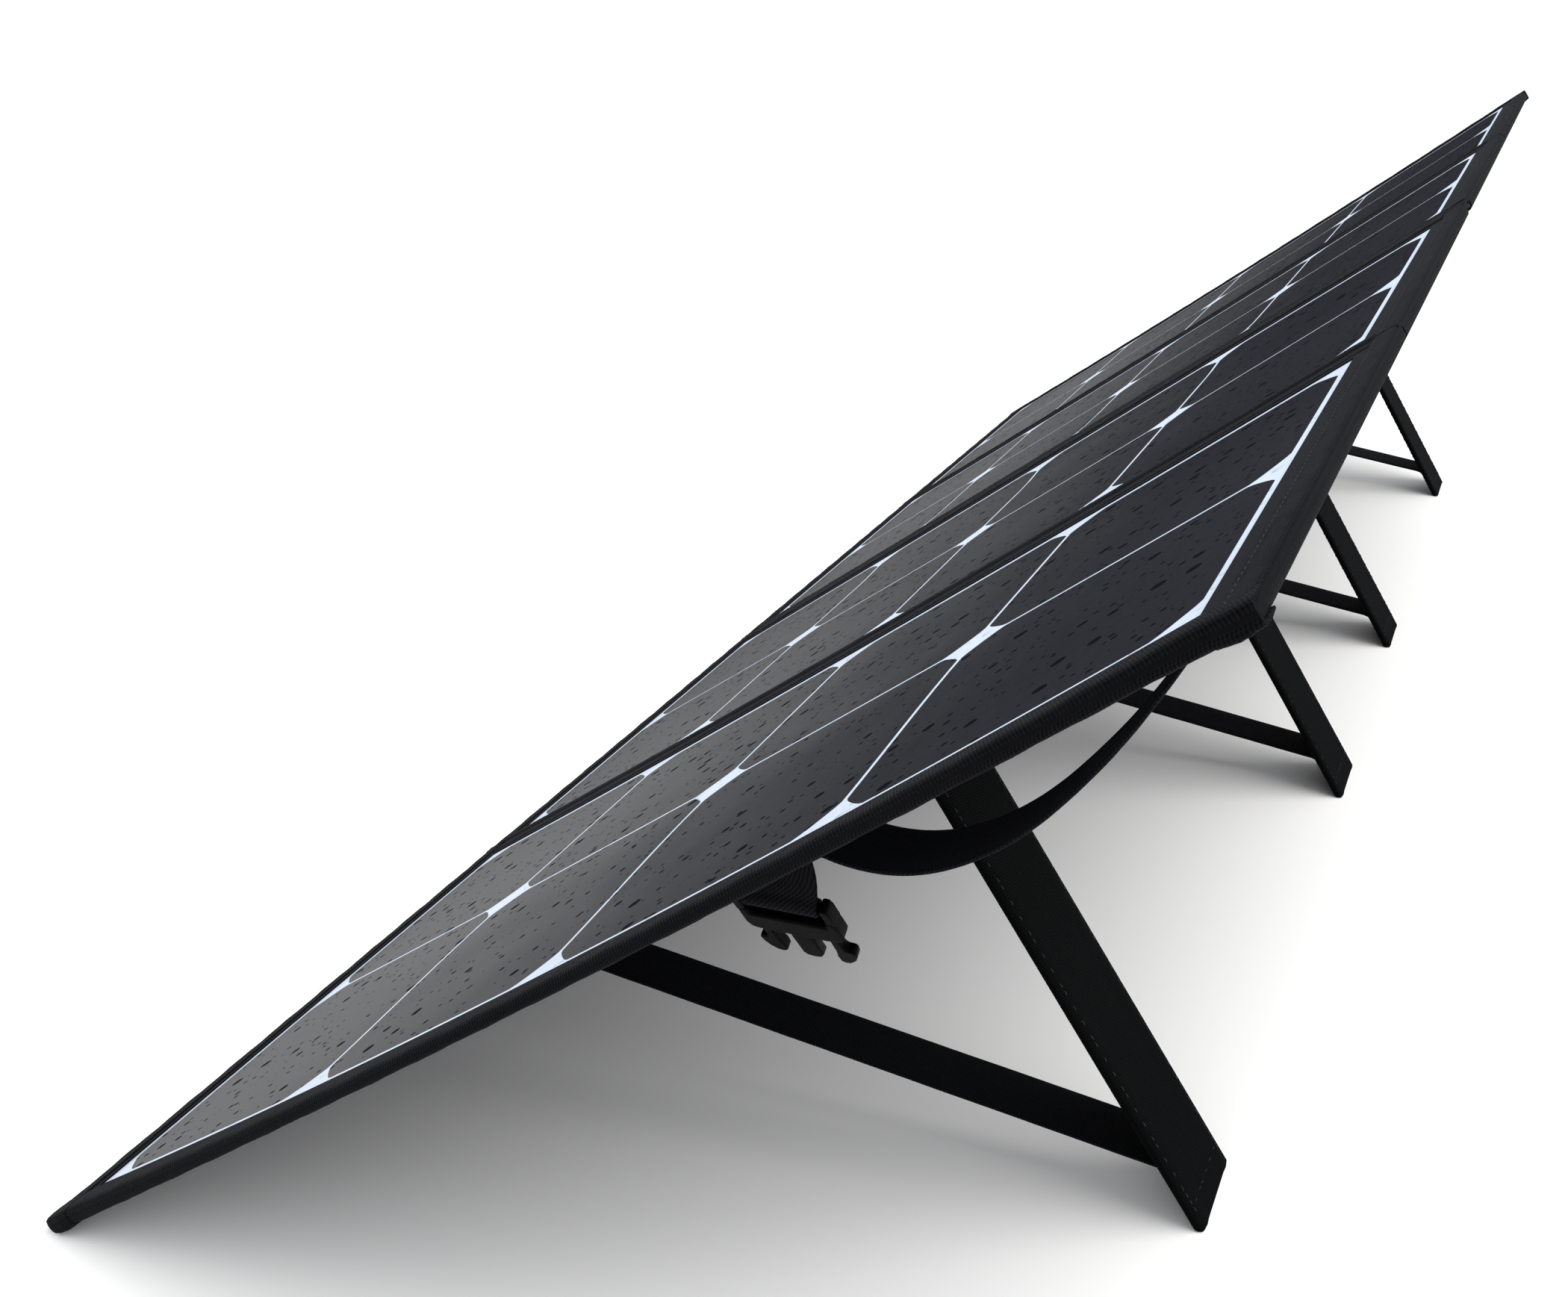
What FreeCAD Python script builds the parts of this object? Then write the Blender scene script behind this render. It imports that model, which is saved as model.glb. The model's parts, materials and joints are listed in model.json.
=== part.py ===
"""Folding solar panel: four fabric-bound panels on fabric hinges, four fold-out legs.

Every panel is drawn flat and face up, then the whole array is tipped back onto its legs.
In the flat frame x runs along the array (panel 1 is at the +x end), y runs up the panel
from its bottom edge, and z = 0 is the middle of the front fabric, with +z in front.
"""
import FreeCAD, Part
import math
import os
import Sketcher

SIZES = [
    # solar cells and the white laminate that holds them
    ("cell", 125.0), ("cell_gap", 2.0), ("wafer_radius", 80.0), ("cell_thick", 0.2),
    ("cell_proud", 0.05), ("columns", 2), ("rows", 4), ("white_margin", 4.0),
    ("laminate_thick", 1.0), ("laminate_lap", 5.0),
    # fabric, board and edge binding
    ("fabric", 0.6), ("board_thick", 4.0), ("tape", 0.8), ("tape_lap", 10.5),
    ("border_side", 15.0), ("border_top", 18.0), ("border_bottom", 16.0),
    # folds between panels
    ("valley_band", 28.0), ("spine_band", 44.0), ("spine_width", 19.0), ("fold_gap", 1.0),
    ("spine_gap", 0.4), ("hinge_tape", 14.0), ("spine_tape", 32.0), ("hinge_tape_thick", 0.4),
    ("jumper_width", 6.0), ("jumper_thick", 0.4), ("jumper_height", 470.0),
    # tilt and legs
    ("tilt", 35.0), ("leg_open", 94.0), ("leg_width", 44.0), ("leg_thick", 4.4),
    ("leg_hinge_height", 356.0), ("leg_pivot_depth", 8.2), ("leg_start", 2.5),
    ("bar_width", 38.0), ("bar_thick", 2.6), ("bar_inset", 6.0),
    ("leg_round", 1.4), ("roll_radius", 1.3), ("flap_height", 34.0),
    ("leg_1_along", 149.0), ("leg_2_along", 218.0), ("leg_3_along", 134.0),
    ("leg_4_along", 179.0),
    # webbing
    ("webbing", 25.0), ("webbing_thick", 1.4), ("strap_on_leg", 213.0), ("strap_low", 114.0),
    ("strap_foot_tab", 16.0), ("strap_tab", 22.0), ("touch", 0.1),
    ("handle_inset", 28.0), ("handle_low", 392.0), ("handle_high", 526.0),
    ("handle_sag", 30.0), ("handle_tab", 20.0), ("handle_top_tab", 10.0),
    ("closure_height", 378.0), ("closure_inset", 20.0), ("closure_tab", 26.0),
    ("closure_drop", 14.0), ("bar_radius", 1.3), ("loop_gap", 0.5), ("male_lean", 34.0),
    # side-release buckle
    ("buckle_width", 32.0), ("buckle_thick", 5.0), ("cheek", 3.0), ("buckle_top", 3.0),
    ("male_base_top", 10.5), ("male_base_end", 19.0), ("prong_end", 37.5),
    ("prong_thick", 3.6), ("centre_prong", 7.0), ("arm", 3.2),
    ("female_width", 33.0), ("female_thick", 9.6), ("female_length", 33.0),
    ("female_wall", 1.8), ("female_base", 8.5), ("female_window", 12.0),
    # junction box on the back of panel 4
    ("jbox_length", 96.0), ("jbox_width", 62.0), ("jbox_depth", 14.0), ("jbox_wall", 2.0),
    ("jbox_low", 402.0), ("lid_thick", 2.4), ("jbox_round", 4.0),
    ("gland_radius", 6.5), ("gland_bore", 3.2), ("gland_length", 16.0),
]

doc = FreeCAD.newDocument("folding_solar_panel")
sheet = doc.addObject("Spreadsheet::Sheet", "sizes")
for row, (alias, number) in enumerate(SIZES, start=1):
    sheet.set("A%d" % row, str(number))
    sheet.setAlias("A%d" % row, alias)
doc.recompute()
SUB_PARTS = []


def size(alias):
    """A driving dimension, read from the sheet."""
    return float(sheet.get(alias))


def expr(text):
    """Text with each driving dimension's name written as its cell in the sheet."""
    for alias in sorted((a for a, _ in SIZES), key=len, reverse=True):
        text = text.replace("[%s]" % alias, "sizes." + alias)
    return text


def block(name, length, width, height, x, y, z):
    """A box from expressions: its sizes, and its lowest corner in the flat frame."""
    solid = doc.addObject("Part::Box", name)
    places = (("Length", length), ("Width", width), ("Height", height),
              (".Placement.Base.x", x), (".Placement.Base.y", y), (".Placement.Base.z", z))
    for prop, value in places:
        solid.setExpression(prop, expr(str(value)))
    return solid


def rod(name, radius, length, x, y, z, along):
    """A cylinder from expressions, lying along the X or Y axis, or standing along Z."""
    solid = doc.addObject("Part::Cylinder", name)
    turns = {"x": (FreeCAD.Vector(0, 1, 0), 90), "y": (FreeCAD.Vector(1, 0, 0), -90),
             "z": (FreeCAD.Vector(0, 0, 1), 0)}
    solid.Placement = FreeCAD.Placement(FreeCAD.Vector(), FreeCAD.Rotation(*turns[along]))
    places = (("Radius", radius), ("Height", length), (".Placement.Base.x", x),
              (".Placement.Base.y", y), (".Placement.Base.z", z))
    for prop, value in places:
        solid.setExpression(prop, expr(str(value)))
    return solid


def cut(name, base, tool):
    solid = doc.addObject("Part::Cut", name)
    solid.Base = base
    solid.Tool = tool
    return solid


def fuse(name, *solids):
    joined = doc.addObject("Part::MultiFuse", name)
    joined.Shapes = list(solids)
    joined.Refine = True
    return joined


def group(name, *solids):
    """Separate solids kept together as one sub-part."""
    together = doc.addObject("Part::Compound", name)
    together.Links = list(solids)
    return together


def flat_strip(name, points, thickness, x, width):
    """A webbing strip of even thickness whose middle follows points (y, z), width along x."""
    left, right = [], []
    for i, (y, z) in enumerate(points):
        before = points[max(i - 1, 0)]
        after = points[min(i + 1, len(points) - 1)]
        here = (y, z)
        runs = [(b[0] - a[0], b[1] - a[1]) for a, b in ((before, here), (here, after)) if a != b]
        units = [(r[0] / math.hypot(*r), r[1] / math.hypot(*r)) for r in runs]
        normals = [(-u[1], u[0]) for u in units]
        mean = (sum(n[0] for n in normals), sum(n[1] for n in normals))
        long = math.hypot(*mean)
        mitre = (mean[0] / long, mean[1] / long)
        reach = thickness / 2 / (mitre[0] * normals[0][0] + mitre[1] * normals[0][1])
        left.append(FreeCAD.Vector(x, y + mitre[0] * reach, z + mitre[1] * reach))
        right.append(FreeCAD.Vector(x, y - mitre[0] * reach, z - mitre[1] * reach))
    outline = left + right[::-1]
    face = Part.Face(Part.makePolygon(outline + outline[:1]))
    strip = doc.addObject("Part::Feature", name)
    strip.Shape = face.extrude(FreeCAD.Vector(width, 0, 0))
    return strip


def sketch_pad(name, outline, thickness, plane="XY_Plane"):
    """A PartDesign body: a closed outline padded evenly both sides of an origin plane."""
    body = doc.addObject("PartDesign::Body", name)
    sketch = body.newObject("Sketcher::SketchObject", name + "_outline")
    origin = [f for f in body.Origin.OriginFeatures if f.Role == plane][0]
    sketch.AttachmentSupport = (origin, [""])
    sketch.MapMode = "FlatFace"
    corners = [FreeCAD.Vector(px, py, 0) for px, py in outline]
    for i, corner in enumerate(corners):
        sketch.addGeometry(Part.LineSegment(corner, corners[(i + 1) % len(corners)]), False)
    for i in range(len(corners)):
        sketch.addConstraint(Sketcher.Constraint("Coincident", i, 2, (i + 1) % len(corners), 1))
    pad = body.newObject("PartDesign::Pad", name + "_pad")
    pad.Profile = sketch
    pad.setExpression("Length", expr(thickness))
    pad.Midplane = True
    body.Tip = pad
    return body, pad


def long_edges(shape, direction, least):
    """Names of a shape's straight edges that run along a direction for at least a length."""
    names = []
    for i, edge in enumerate(shape.Edges, start=1):
        if len(edge.Vertexes) == 2 and edge.Length >= least:
            run = edge.Vertexes[1].Point - edge.Vertexes[0].Point
            if abs(run.normalize().dot(direction)) > 0.999:
                names.append("Edge%d" % i)
    return names


def round_edges(body, base, radius, direction, least):
    """Fillets a body's long edges along one direction."""
    doc.recompute()
    fillet = body.newObject("PartDesign::Fillet", body.Name + "_rounding")
    fillet.Base = (base, long_edges(base.Shape, direction, least))
    fillet.setExpression("Radius", expr(radius))
    body.Tip = fillet
    return fillet


def sub_part(solid, label, placement):
    """Names a finished sub-part, which is also its file's name, and puts it in place."""
    if solid.TypeId in ("Part::Box", "Part::Cylinder"):
        solid = group(solid.Name + "_placed", solid)
    solid.Label = label
    solid.Placement = placement.multiply(solid.Placement)
    SUB_PARTS.append(solid)


# ---- the array's layout ------------------------------------------------------------------

window_wide = size("columns") * size("cell") + (size("columns") - 1) * size("cell_gap")
window_wide += 2 * size("white_margin")
window_high = size("rows") * size("cell") + (size("rows") - 1) * size("cell_gap")
window_high += 2 * size("white_margin")
panel_high = size("border_bottom") + window_high + size("border_top")
array_long = 4 * window_wide + 2 * size("border_side") + 2 * size("valley_band")
array_long += size("spine_band")

# each window's edges in x, panel 1 first, and the folds between them
windows = {}
edge = array_long / 2 - size("border_side")
for number, band in ((1, size("valley_band")), (2, size("spine_band")),
                     (3, size("valley_band")), (4, 0.0)):
    windows[number] = (edge - window_wide, edge)
    edge -= window_wide + band
fold_12 = windows[1][0] - size("valley_band") / 2
fold_34 = windows[3][0] - size("valley_band") / 2
spine_middle = (windows[2][0] + windows[3][1]) / 2
crease_near = spine_middle + size("spine_width") / 2
crease_far = spine_middle - size("spine_width") / 2
outer = {1: (fold_12 + size("fold_gap"), array_long / 2),
         2: (crease_near + size("fold_gap"), fold_12 - size("fold_gap")),
         3: (fold_34 + size("fold_gap"), crease_far - size("fold_gap")),
         4: (-array_long / 2, fold_34 - size("fold_gap"))}

# heights in z of the layers, front to back
front = size("fabric") / 2
board_back = -front - size("board_thick")
fabric_back = board_back - size("fabric")
tape_back = fabric_back - size("tape")

# the tilt: the bottom edge's back corner and the four feet stand on the ground
tilt = math.radians(size("tilt"))
lift = -tape_back * math.cos(tilt)
back_reach = panel_high * math.cos(tilt) - tape_back * math.sin(tilt)
front_reach = -(front + size("tape")) * math.sin(tilt)
ARRAY = FreeCAD.Placement(
    FreeCAD.Vector(0, -(back_reach + front_reach) / 2, lift),
    FreeCAD.Rotation(FreeCAD.Vector(1, 0, 0), size("tilt")))


# ---- panels ------------------------------------------------------------------------------

def cells(number):
    """Eight pseudo-square wafers: squares with corners cut by the round ingot."""
    left = windows[number][0] + size("white_margin")
    wafers = []
    for column in range(int(size("columns"))):
        for line in range(int(size("rows"))):
            name = "wafer_%d_%d_%d" % (number, column, line)
            x = "%g + %d * ([cell] + [cell_gap])" % (left, column)
            y = "[border_bottom] + [white_margin] + %d * ([cell] + [cell_gap])" % line
            z = "-[fabric] / 2 + [cell_proud] - [cell_thick]"
            square = block(name + "_square", "[cell]", "[cell]", "[cell_thick]", x, y, z)
            ingot = rod(name + "_ingot", "[wafer_radius]", "[cell_thick]",
                        x + " + [cell] / 2", y + " + [cell] / 2", z, "z")
            wafer = doc.addObject("Part::Common", name)
            wafer.Base = square
            wafer.Tool = ingot
            wafers.append(wafer)
    return wafers


def laminate(number, wafers):
    """White backsheet and clear film in one bonded sheet, with a seat for every cell."""
    left = windows[number][0]
    sheet_solid = block(
        "sheet_%d" % number, "%g + 2 * [laminate_lap]" % window_wide,
        "%g + 2 * [laminate_lap]" % window_high, "[laminate_thick]",
        "%g - [laminate_lap]" % left, "[border_bottom] - [laminate_lap]",
        "-[fabric] / 2 - [laminate_thick]")
    return cut("laminate_%d" % number, sheet_solid, group("seats_%d" % number, *wafers))


def layer(name, number, low, high, trim):
    """A sheet over a whole panel between two heights, held back from the outside edges."""
    near_trim = trim if number == 1 else 0
    far_trim = trim if number == 4 else 0
    left = outer[number][0] + far_trim
    wide = outer[number][1] - near_trim - left
    return block(name, "%g" % wide, "%g" % (panel_high - 2 * trim), "%g" % (high - low),
                 "%g" % left, "%g" % trim, "%g" % low)


def window_hole(name, number, lap, low, high):
    """The space over a panel's window, made larger all round by a lap."""
    return block(name, "%g + 2 * %g" % (window_wide, lap), "%g + 2 * %g" % (window_high, lap),
                 "%g" % (high - low), "%g - %g" % (windows[number][0], lap),
                 "[border_bottom] - %g" % lap, "%g" % low)


def board(number):
    """The stiff inner board, with a shallow recess for the laminate and its jumper leads."""
    trim = size("tape")
    slab = layer("slab_%d" % number, number, board_back, -front, trim)
    recess = window_hole("recess_%d" % number, number, size("laminate_lap"),
                         -front - size("laminate_thick"), 0.0)
    sides = {1: (0,), 2: (0, 1), 3: (0, 1), 4: (1,)}[number]
    cuts = [recess]
    for side in sides:
        start = windows[number][0] - size("spine_band") / 2 if side == 0 else windows[number][1]
        cuts.append(block("lead_way_%d_%d" % (number, side), "[spine_band] / 2",
                          "[jumper_width]", "[jumper_thick] + 0.2", "%g" % start,
                          "[jumper_height]", "-[fabric] / 2 - [jumper_thick] - 0.2"))
    return cut("board_%d" % number, slab, fuse("board_cuts_%d" % number, *cuts))


def front_fabric(number):
    """The fabric face around the window."""
    cloth = layer("cloth_%d" % number, number, -front, front, size("tape"))
    return cut("front_%d" % number, cloth,
               window_hole("window_%d" % number, number, 0.0, -front - 1, front + 1))


def binding_strip(name, length, along, start, edge_at, inward):
    """One folded strip of binding tape: a web outside and a lap on the front and the back.

    It runs along x or y from start; edge_at is the outer edge and inward is the way in."""
    deep = front + size("tape") - tape_back
    lap = size("tape_lap") + size("tape")
    low = edge_at if inward > 0 else edge_at - lap
    hollow_low = low + size("tape") if inward > 0 else low - 1
    solid_at = {"x": (start, low), "y": (low, start)}[along]
    hollow_at = {"x": (start - 1, hollow_low), "y": (hollow_low, start - 1)}[along]
    solid_size = {"x": (length, lap), "y": (lap, length)}[along]
    hollow_size = {"x": (length + 2, lap - size("tape") + 1),
                   "y": (lap - size("tape") + 1, length + 2)}[along]
    solid = block(name + "_solid", "%g" % solid_size[0], "%g" % solid_size[1], "%g" % deep,
                  "%g" % solid_at[0], "%g" % solid_at[1], "%g" % tape_back)
    hollow = block(name + "_hollow", "%g" % hollow_size[0], "%g" % hollow_size[1],
                   "%g" % (front - fabric_back), "%g" % hollow_at[0], "%g" % hollow_at[1],
                   "%g" % fabric_back)
    return cut(name, solid, hollow)


def binding(number):
    """The edge tape: along the top and the bottom, and down the free side of panels 1 and 4."""
    lap = size("tape_lap") + size("tape")
    left, right = outer[number]
    strips = [
        binding_strip("bind_low_%d" % number, right - left, "x", left, 0.0, 1),
        binding_strip("bind_top_%d" % number, right - left, "x", left, panel_high, -1)]
    if number in (1, 4):
        edge_at, inward = (right, -1) if number == 1 else (left, 1)
        strips.append(binding_strip("bind_side_%d" % number, panel_high - 2 * lap, "y", lap,
                                    edge_at, inward))
    return group("binding_%d" % number, *strips)


for number in windows:
    wafers = cells(number)
    panel = "panel_%d_" % number
    sub_part(laminate(number, wafers), panel + "laminate", ARRAY)
    sub_part(group("cells_%d" % number, *wafers), panel + "cells", ARRAY)
    sub_part(board(number), panel + "board", ARRAY)
    sub_part(front_fabric(number), panel + "front_fabric", ARRAY)
    back = layer("back_%d" % number, number, fabric_back, board_back, size("tape"))
    sub_part(back, panel + "back_fabric", ARRAY)
    sub_part(binding(number), panel + "edge_binding", ARRAY)


# ---- fabric hinges and the leads that cross them -----------------------------------------

hinge_low = size("tape") + size("tape_lap") + size("fold_gap")
hinge_high = panel_high - 2 * hinge_low
for name, middle, wide in (("hinge_tape_12", fold_12, "hinge_tape"),
                           ("hinge_tape_23", spine_middle, "spine_tape"),
                           ("hinge_tape_34", fold_34, "hinge_tape")):
    ribbon = block("ribbon_" + name[-2:], "[%s]" % wide, "%g" % hinge_high, "[hinge_tape_thick]",
                   "%g - [%s] / 2" % (middle, wide), "%g" % hinge_low, "[fabric] / 2")
    sub_part(ribbon, name, ARRAY)

spine = block("spine", "[spine_width] - 2 * [spine_gap]", "%g" % (panel_high - 2), "[fabric]",
              "%g + [spine_gap]" % crease_far, "1", "-[fabric] / 2")
sub_part(spine, "spine_fabric", ARRAY)

for name, right, left in (("jumper_lead_12", 1, 2), ("jumper_lead_23", 2, 3),
                          ("jumper_lead_34", 3, 4)):
    start = windows[left][1] + size("laminate_lap")
    reach = windows[right][0] - size("laminate_lap") - start
    lead = block("lead_" + name[-2:], "%g" % reach, "[jumper_width] - 1", "[jumper_thick]", "%g" % start,
                 "[jumper_height] + 0.5", "-[fabric] / 2 - [jumper_thick] - 0.1")
    sub_part(lead, name, ARRAY)


# ---- legs --------------------------------------------------------------------------------

leg_slope = math.radians(size("leg_open") - size("tilt"))
pivot_high = size("leg_hinge_height") * math.sin(tilt) + lift
pivot_high -= size("leg_pivot_depth") * math.cos(tilt)
half_leg = size("leg_thick") / 2


def leg_reach(z):
    """Distance from the pivot to the ground along the leg, at a height z across the leg."""
    return (pivot_high + z * math.cos(leg_slope)) / math.sin(leg_slope)


def leg_sleeve(number):
    """The sewn sleeve, its foot cut level with the ground, and the pocket for its bar."""
    outline = [(size("leg_start"), -half_leg), (leg_reach(-half_leg), -half_leg),
               (leg_reach(half_leg), half_leg), (size("leg_start"), half_leg)]
    body, pad = sketch_pad("leg_body_%d" % number, outline, "[leg_width]", "YZ_Plane")
    round_edges(body, pad, "[leg_round]", FreeCAD.Vector(0, 1, 0), leg_reach(0) / 2)
    pocket = leg_bar(number, "pocket")
    return cut("sleeve_%d" % number, body, pocket)


def leg_bar(number, name):
    return block("%s_%d" % (name, number), "[bar_width]",
                 "%g - [leg_start] - 2 * [bar_inset]" % leg_reach(-half_leg), "[bar_thick]",
                 "-[bar_width] / 2", "[leg_start] + [bar_inset]", "-[bar_thick] / 2")


def hinge_flap(number, along):
    """The fabric flap sewn to the panel's back, and the roll that the leg turns on."""
    across = ("[leg_width]", "%g - [leg_width] / 2" % along)
    roll_low = "[leg_hinge_height] - [roll_radius]"
    plate = block("flap_plate_%d" % number, across[0], "[flap_height]", "[tape]", across[1],
                  roll_low, "%g" % tape_back)
    web = block("flap_web_%d" % number, across[0], "2 * [roll_radius]",
                "[leg_pivot_depth] + %g" % fabric_back, across[1], roll_low,
                "-[leg_pivot_depth]")
    roll = rod("flap_roll_%d" % number, "[roll_radius]", across[0], across[1],
               "[leg_hinge_height]", "-[leg_pivot_depth]", "x")
    return fuse("flap_%d" % number, plate, web, roll)


def limit_strap(number, along):
    """The webbing that stops the leg: sewn near the foot and low on the panel's back."""
    opened = math.radians(size("leg_open"))
    down = (math.cos(opened), -math.sin(opened))
    off = half_leg + size("touch") + size("webbing_thick") / 2

    def on_leg(reach):
        return (size("leg_hinge_height") + down[0] * reach + down[1] * off,
                -size("leg_pivot_depth") + down[1] * reach - down[0] * off)

    back = fabric_back - size("webbing_thick") / 2
    points = [on_leg(size("strap_on_leg") + size("strap_foot_tab")),
              on_leg(size("strap_on_leg")),
              (size("strap_low"), back), (size("strap_low") - size("strap_tab"), back)]
    return flat_strip("strap_%d" % number, points, size("webbing_thick"),
                      along - size("webbing") / 2, size("webbing"))


for number, (left, right) in windows.items():
    along = right - size("leg_%d_along" % number)
    turn = FreeCAD.Rotation(FreeCAD.Vector(1, 0, 0), -size("leg_open"))
    pivot = FreeCAD.Vector(along, size("leg_hinge_height"), -size("leg_pivot_depth"))
    opened_leg = ARRAY.multiply(FreeCAD.Placement(pivot, turn))
    sub_part(leg_sleeve(number), "leg_%d_sleeve" % number, opened_leg)
    sub_part(leg_bar(number, "bar"), "leg_%d_bar" % number, opened_leg)
    sub_part(hinge_flap(number, along), "leg_%d_hinge_flap" % number, ARRAY)
    sub_part(limit_strap(number, along), "leg_%d_limit_strap" % number, ARRAY)


# ---- carry handle ------------------------------------------------------------------------

def carry_handle():
    """A webbing loop on the back of panel 1, hanging in a shallow curve between its ends."""
    low = (size("handle_low"), fabric_back - size("webbing_thick") / 2)
    high = (size("handle_high"), low[1])
    spans = 14
    points = [(low[0] - size("handle_tab"), low[1])]
    for i in range(spans + 1):
        t = i / spans
        drop = 4 * size("handle_sag") * t * (1 - t)
        points.append((low[0] + (high[0] - low[0]) * t - drop * math.sin(tilt),
                       low[1] + (high[1] - low[1]) * t - drop * math.cos(tilt)))
    points.append((high[0] + size("handle_top_tab"), high[1]))
    middle = array_long / 2 - size("handle_inset")
    return flat_strip("handle", points, size("webbing_thick"), middle - size("webbing") / 2,
                      size("webbing"))


sub_part(carry_handle(), "carry_handle", ARRAY)


# ---- closure webbing and its side-release buckle -----------------------------------------

bar_gap = size("bar_radius") + size("loop_gap")
loop_outer = bar_gap + size("webbing_thick")

# the near webbing lies over the handle's lower end, the far one straight on the fabric
closure_back = {1: fabric_back - 2 * size("webbing_thick"),
                -1: fabric_back - size("webbing_thick")}


def closure_fold(side):
    """Where the closure webbing turns down off a panel: side 1 is panel 1, -1 is panel 4."""
    return FreeCAD.Vector(side * (array_long / 2 - size("closure_inset")),
                          size("closure_height"), closure_back[side])


def buckle_bar_place(side):
    """Where a buckle's webbing bar hangs, straight down from the fold."""
    return ARRAY.multVec(closure_fold(side)) - FreeCAD.Vector(0, 0, size("closure_drop"))


def closure_webbing(name, side):
    """Webbing sewn to a panel's back, turned down at its fold and looped round a bar."""
    fold = closure_fold(side)
    low = fold.y - size("webbing") / 2
    plate = block(name + "_plate", "[closure_tab]", "[webbing]", "[webbing_thick]",
                  "%g" % min(fold.x, fold.x - side * size("closure_tab")), "%g" % low,
                  "%g" % fold.z)
    sewn = group(name + "_sewn", plate)
    sewn.Placement = ARRAY
    half = size("webbing") / 2 - 1
    inward = -side * size("webbing_thick")
    rise = size("webbing_thick") - 0.2
    top = [ARRAY.multVec(fold + FreeCAD.Vector(dx, dy, rise))
           for dx, dy in ((0, -half), (0, half), (inward, half), (inward, -half))]
    reach = side * size("webbing_thick") / 2
    bar_at = buckle_bar_place(side)
    bottom = [bar_at + FreeCAD.Vector(dx, dy, bar_gap + 0.3)
              for dx, dy in ((reach, -half), (reach, half), (-reach, half), (-reach, -half))]
    wires = [Part.makePolygon(corners + corners[:1]) for corners in (top, bottom)]
    drop = doc.addObject("Part::Feature", name + "_drop")
    drop.Shape = Part.makeLoft(wires, True, True)
    tube = rod(name + "_tube", "%g" % loop_outer, "[webbing] - 2", "0", "0", "0", "y")
    hole = rod(name + "_hole", "%g" % bar_gap, "[webbing]", "0", "-1", "0", "y")
    loop = cut(name + "_loop", tube, hole)
    loop.Placement = FreeCAD.Placement(bar_at - FreeCAD.Vector(0, half, 0), FreeCAD.Rotation())
    return fuse(name, sewn, drop, loop)


def buckle_frame(name, width, cheek_end):
    """The bar that webbing loops round and the two cheeks that carry it."""
    pieces = [rod(name + "_bar", "[bar_radius]", "%s - 2" % width, "0", "-(%s - 2) / 2" % width,
                  "0", "y")]
    for side, at in (("left", "-%s / 2" % width), ("right", "%s / 2 - [cheek]" % width)):
        pieces.append(block("%s_%s_cheek" % (name, side), "[buckle_thick]", "[cheek]",
                            "[buckle_top] + " + cheek_end, "-[buckle_thick] / 2", at,
                            "-" + cheek_end))
    return pieces


def male_buckle():
    """Base, centre prong and two springy side arms with latching heads."""
    base_end, tip = size("male_base_end"), size("prong_end")
    half = size("buckle_width") / 2
    centre, arm = size("centre_prong") / 2, size("arm")
    outline = [(-half, -size("male_base_top")), (-half, -base_end + 2), (-half + 3, -base_end),
               (-half + 3.6, -tip + 10), (-half + 0.6, -tip + 9), (-half + 1.2, -tip + 3),
               (-half + 4.0, -tip), (-half + 7.0, -tip + 1.5), (-half + 3.6 + arm, -tip + 10),
               (-half + 3.2 + arm, -base_end), (-centre, -base_end), (-centre, -tip + 3),
               (-centre + 1.5, -tip + 0.5)]
    outline += [(-px, py) for px, py in outline[::-1]]
    body, pad = sketch_pad("male_prongs", outline, "[prong_thick]", "YZ_Plane")
    round_edges(body, pad, "0.6", FreeCAD.Vector(1, 0, 0), size("prong_thick") / 2)
    base = block("male_base", "[buckle_thick]", "[buckle_width]", "[male_base_end] - "
                 "[male_base_top] - 1", "-[buckle_thick] / 2", "-[buckle_width] / 2",
                 "-[male_base_end] + 1")
    return fuse("male", body, base, *buckle_frame("male", "[buckle_width]", "[male_base_top]"))


def female_buckle():
    """A flat socket with side windows, open at the bottom for the prongs."""
    shell = block("female_shell", "[female_thick]", "[female_width]",
                  "[female_length] - [female_base]", "-[female_thick] / 2",
                  "-[female_width] / 2", "-[female_length]")
    socket = block("female_socket", "[female_thick] - 2 * [female_wall]",
                   "[female_width] - 2 * [female_wall]", "[female_length] - [female_base] - 1",
                   "-[female_thick] / 2 + [female_wall]", "-[female_width] / 2 + [female_wall]",
                   "-[female_length] - 1")
    side_windows = block("female_windows", "[prong_thick] + 0.6", "[female_width] + 2",
                         "[female_window]", "-([prong_thick] + 0.6) / 2",
                         "-[female_width] / 2 - 1", "-[female_base] - 4 - [female_window]")
    hollowed = cut("female_hollowed", shell, fuse("female_space", socket, side_windows))
    return fuse("female", hollowed,
                *buckle_frame("female", "[female_width]", "([female_base] + 1)"))


def hanging(side, lean):
    turn = FreeCAD.Rotation(FreeCAD.Vector(0, 1, 0), lean)
    return FreeCAD.Placement(buckle_bar_place(side), turn)


HERE = FreeCAD.Placement()
sub_part(closure_webbing("webbing_near", 1), "closure_webbing_near", HERE)
sub_part(male_buckle(), "buckle_male", hanging(1, size("male_lean")))
sub_part(closure_webbing("webbing_far", -1), "closure_webbing_far", HERE)
sub_part(female_buckle(), "buckle_female", hanging(-1, 0))


# ---- junction box ------------------------------------------------------------------------

box_left = (windows[4][0] + windows[4][1]) / 2 - size("jbox_length") / 2
box_floor = fabric_back - size("jbox_depth")


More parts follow.
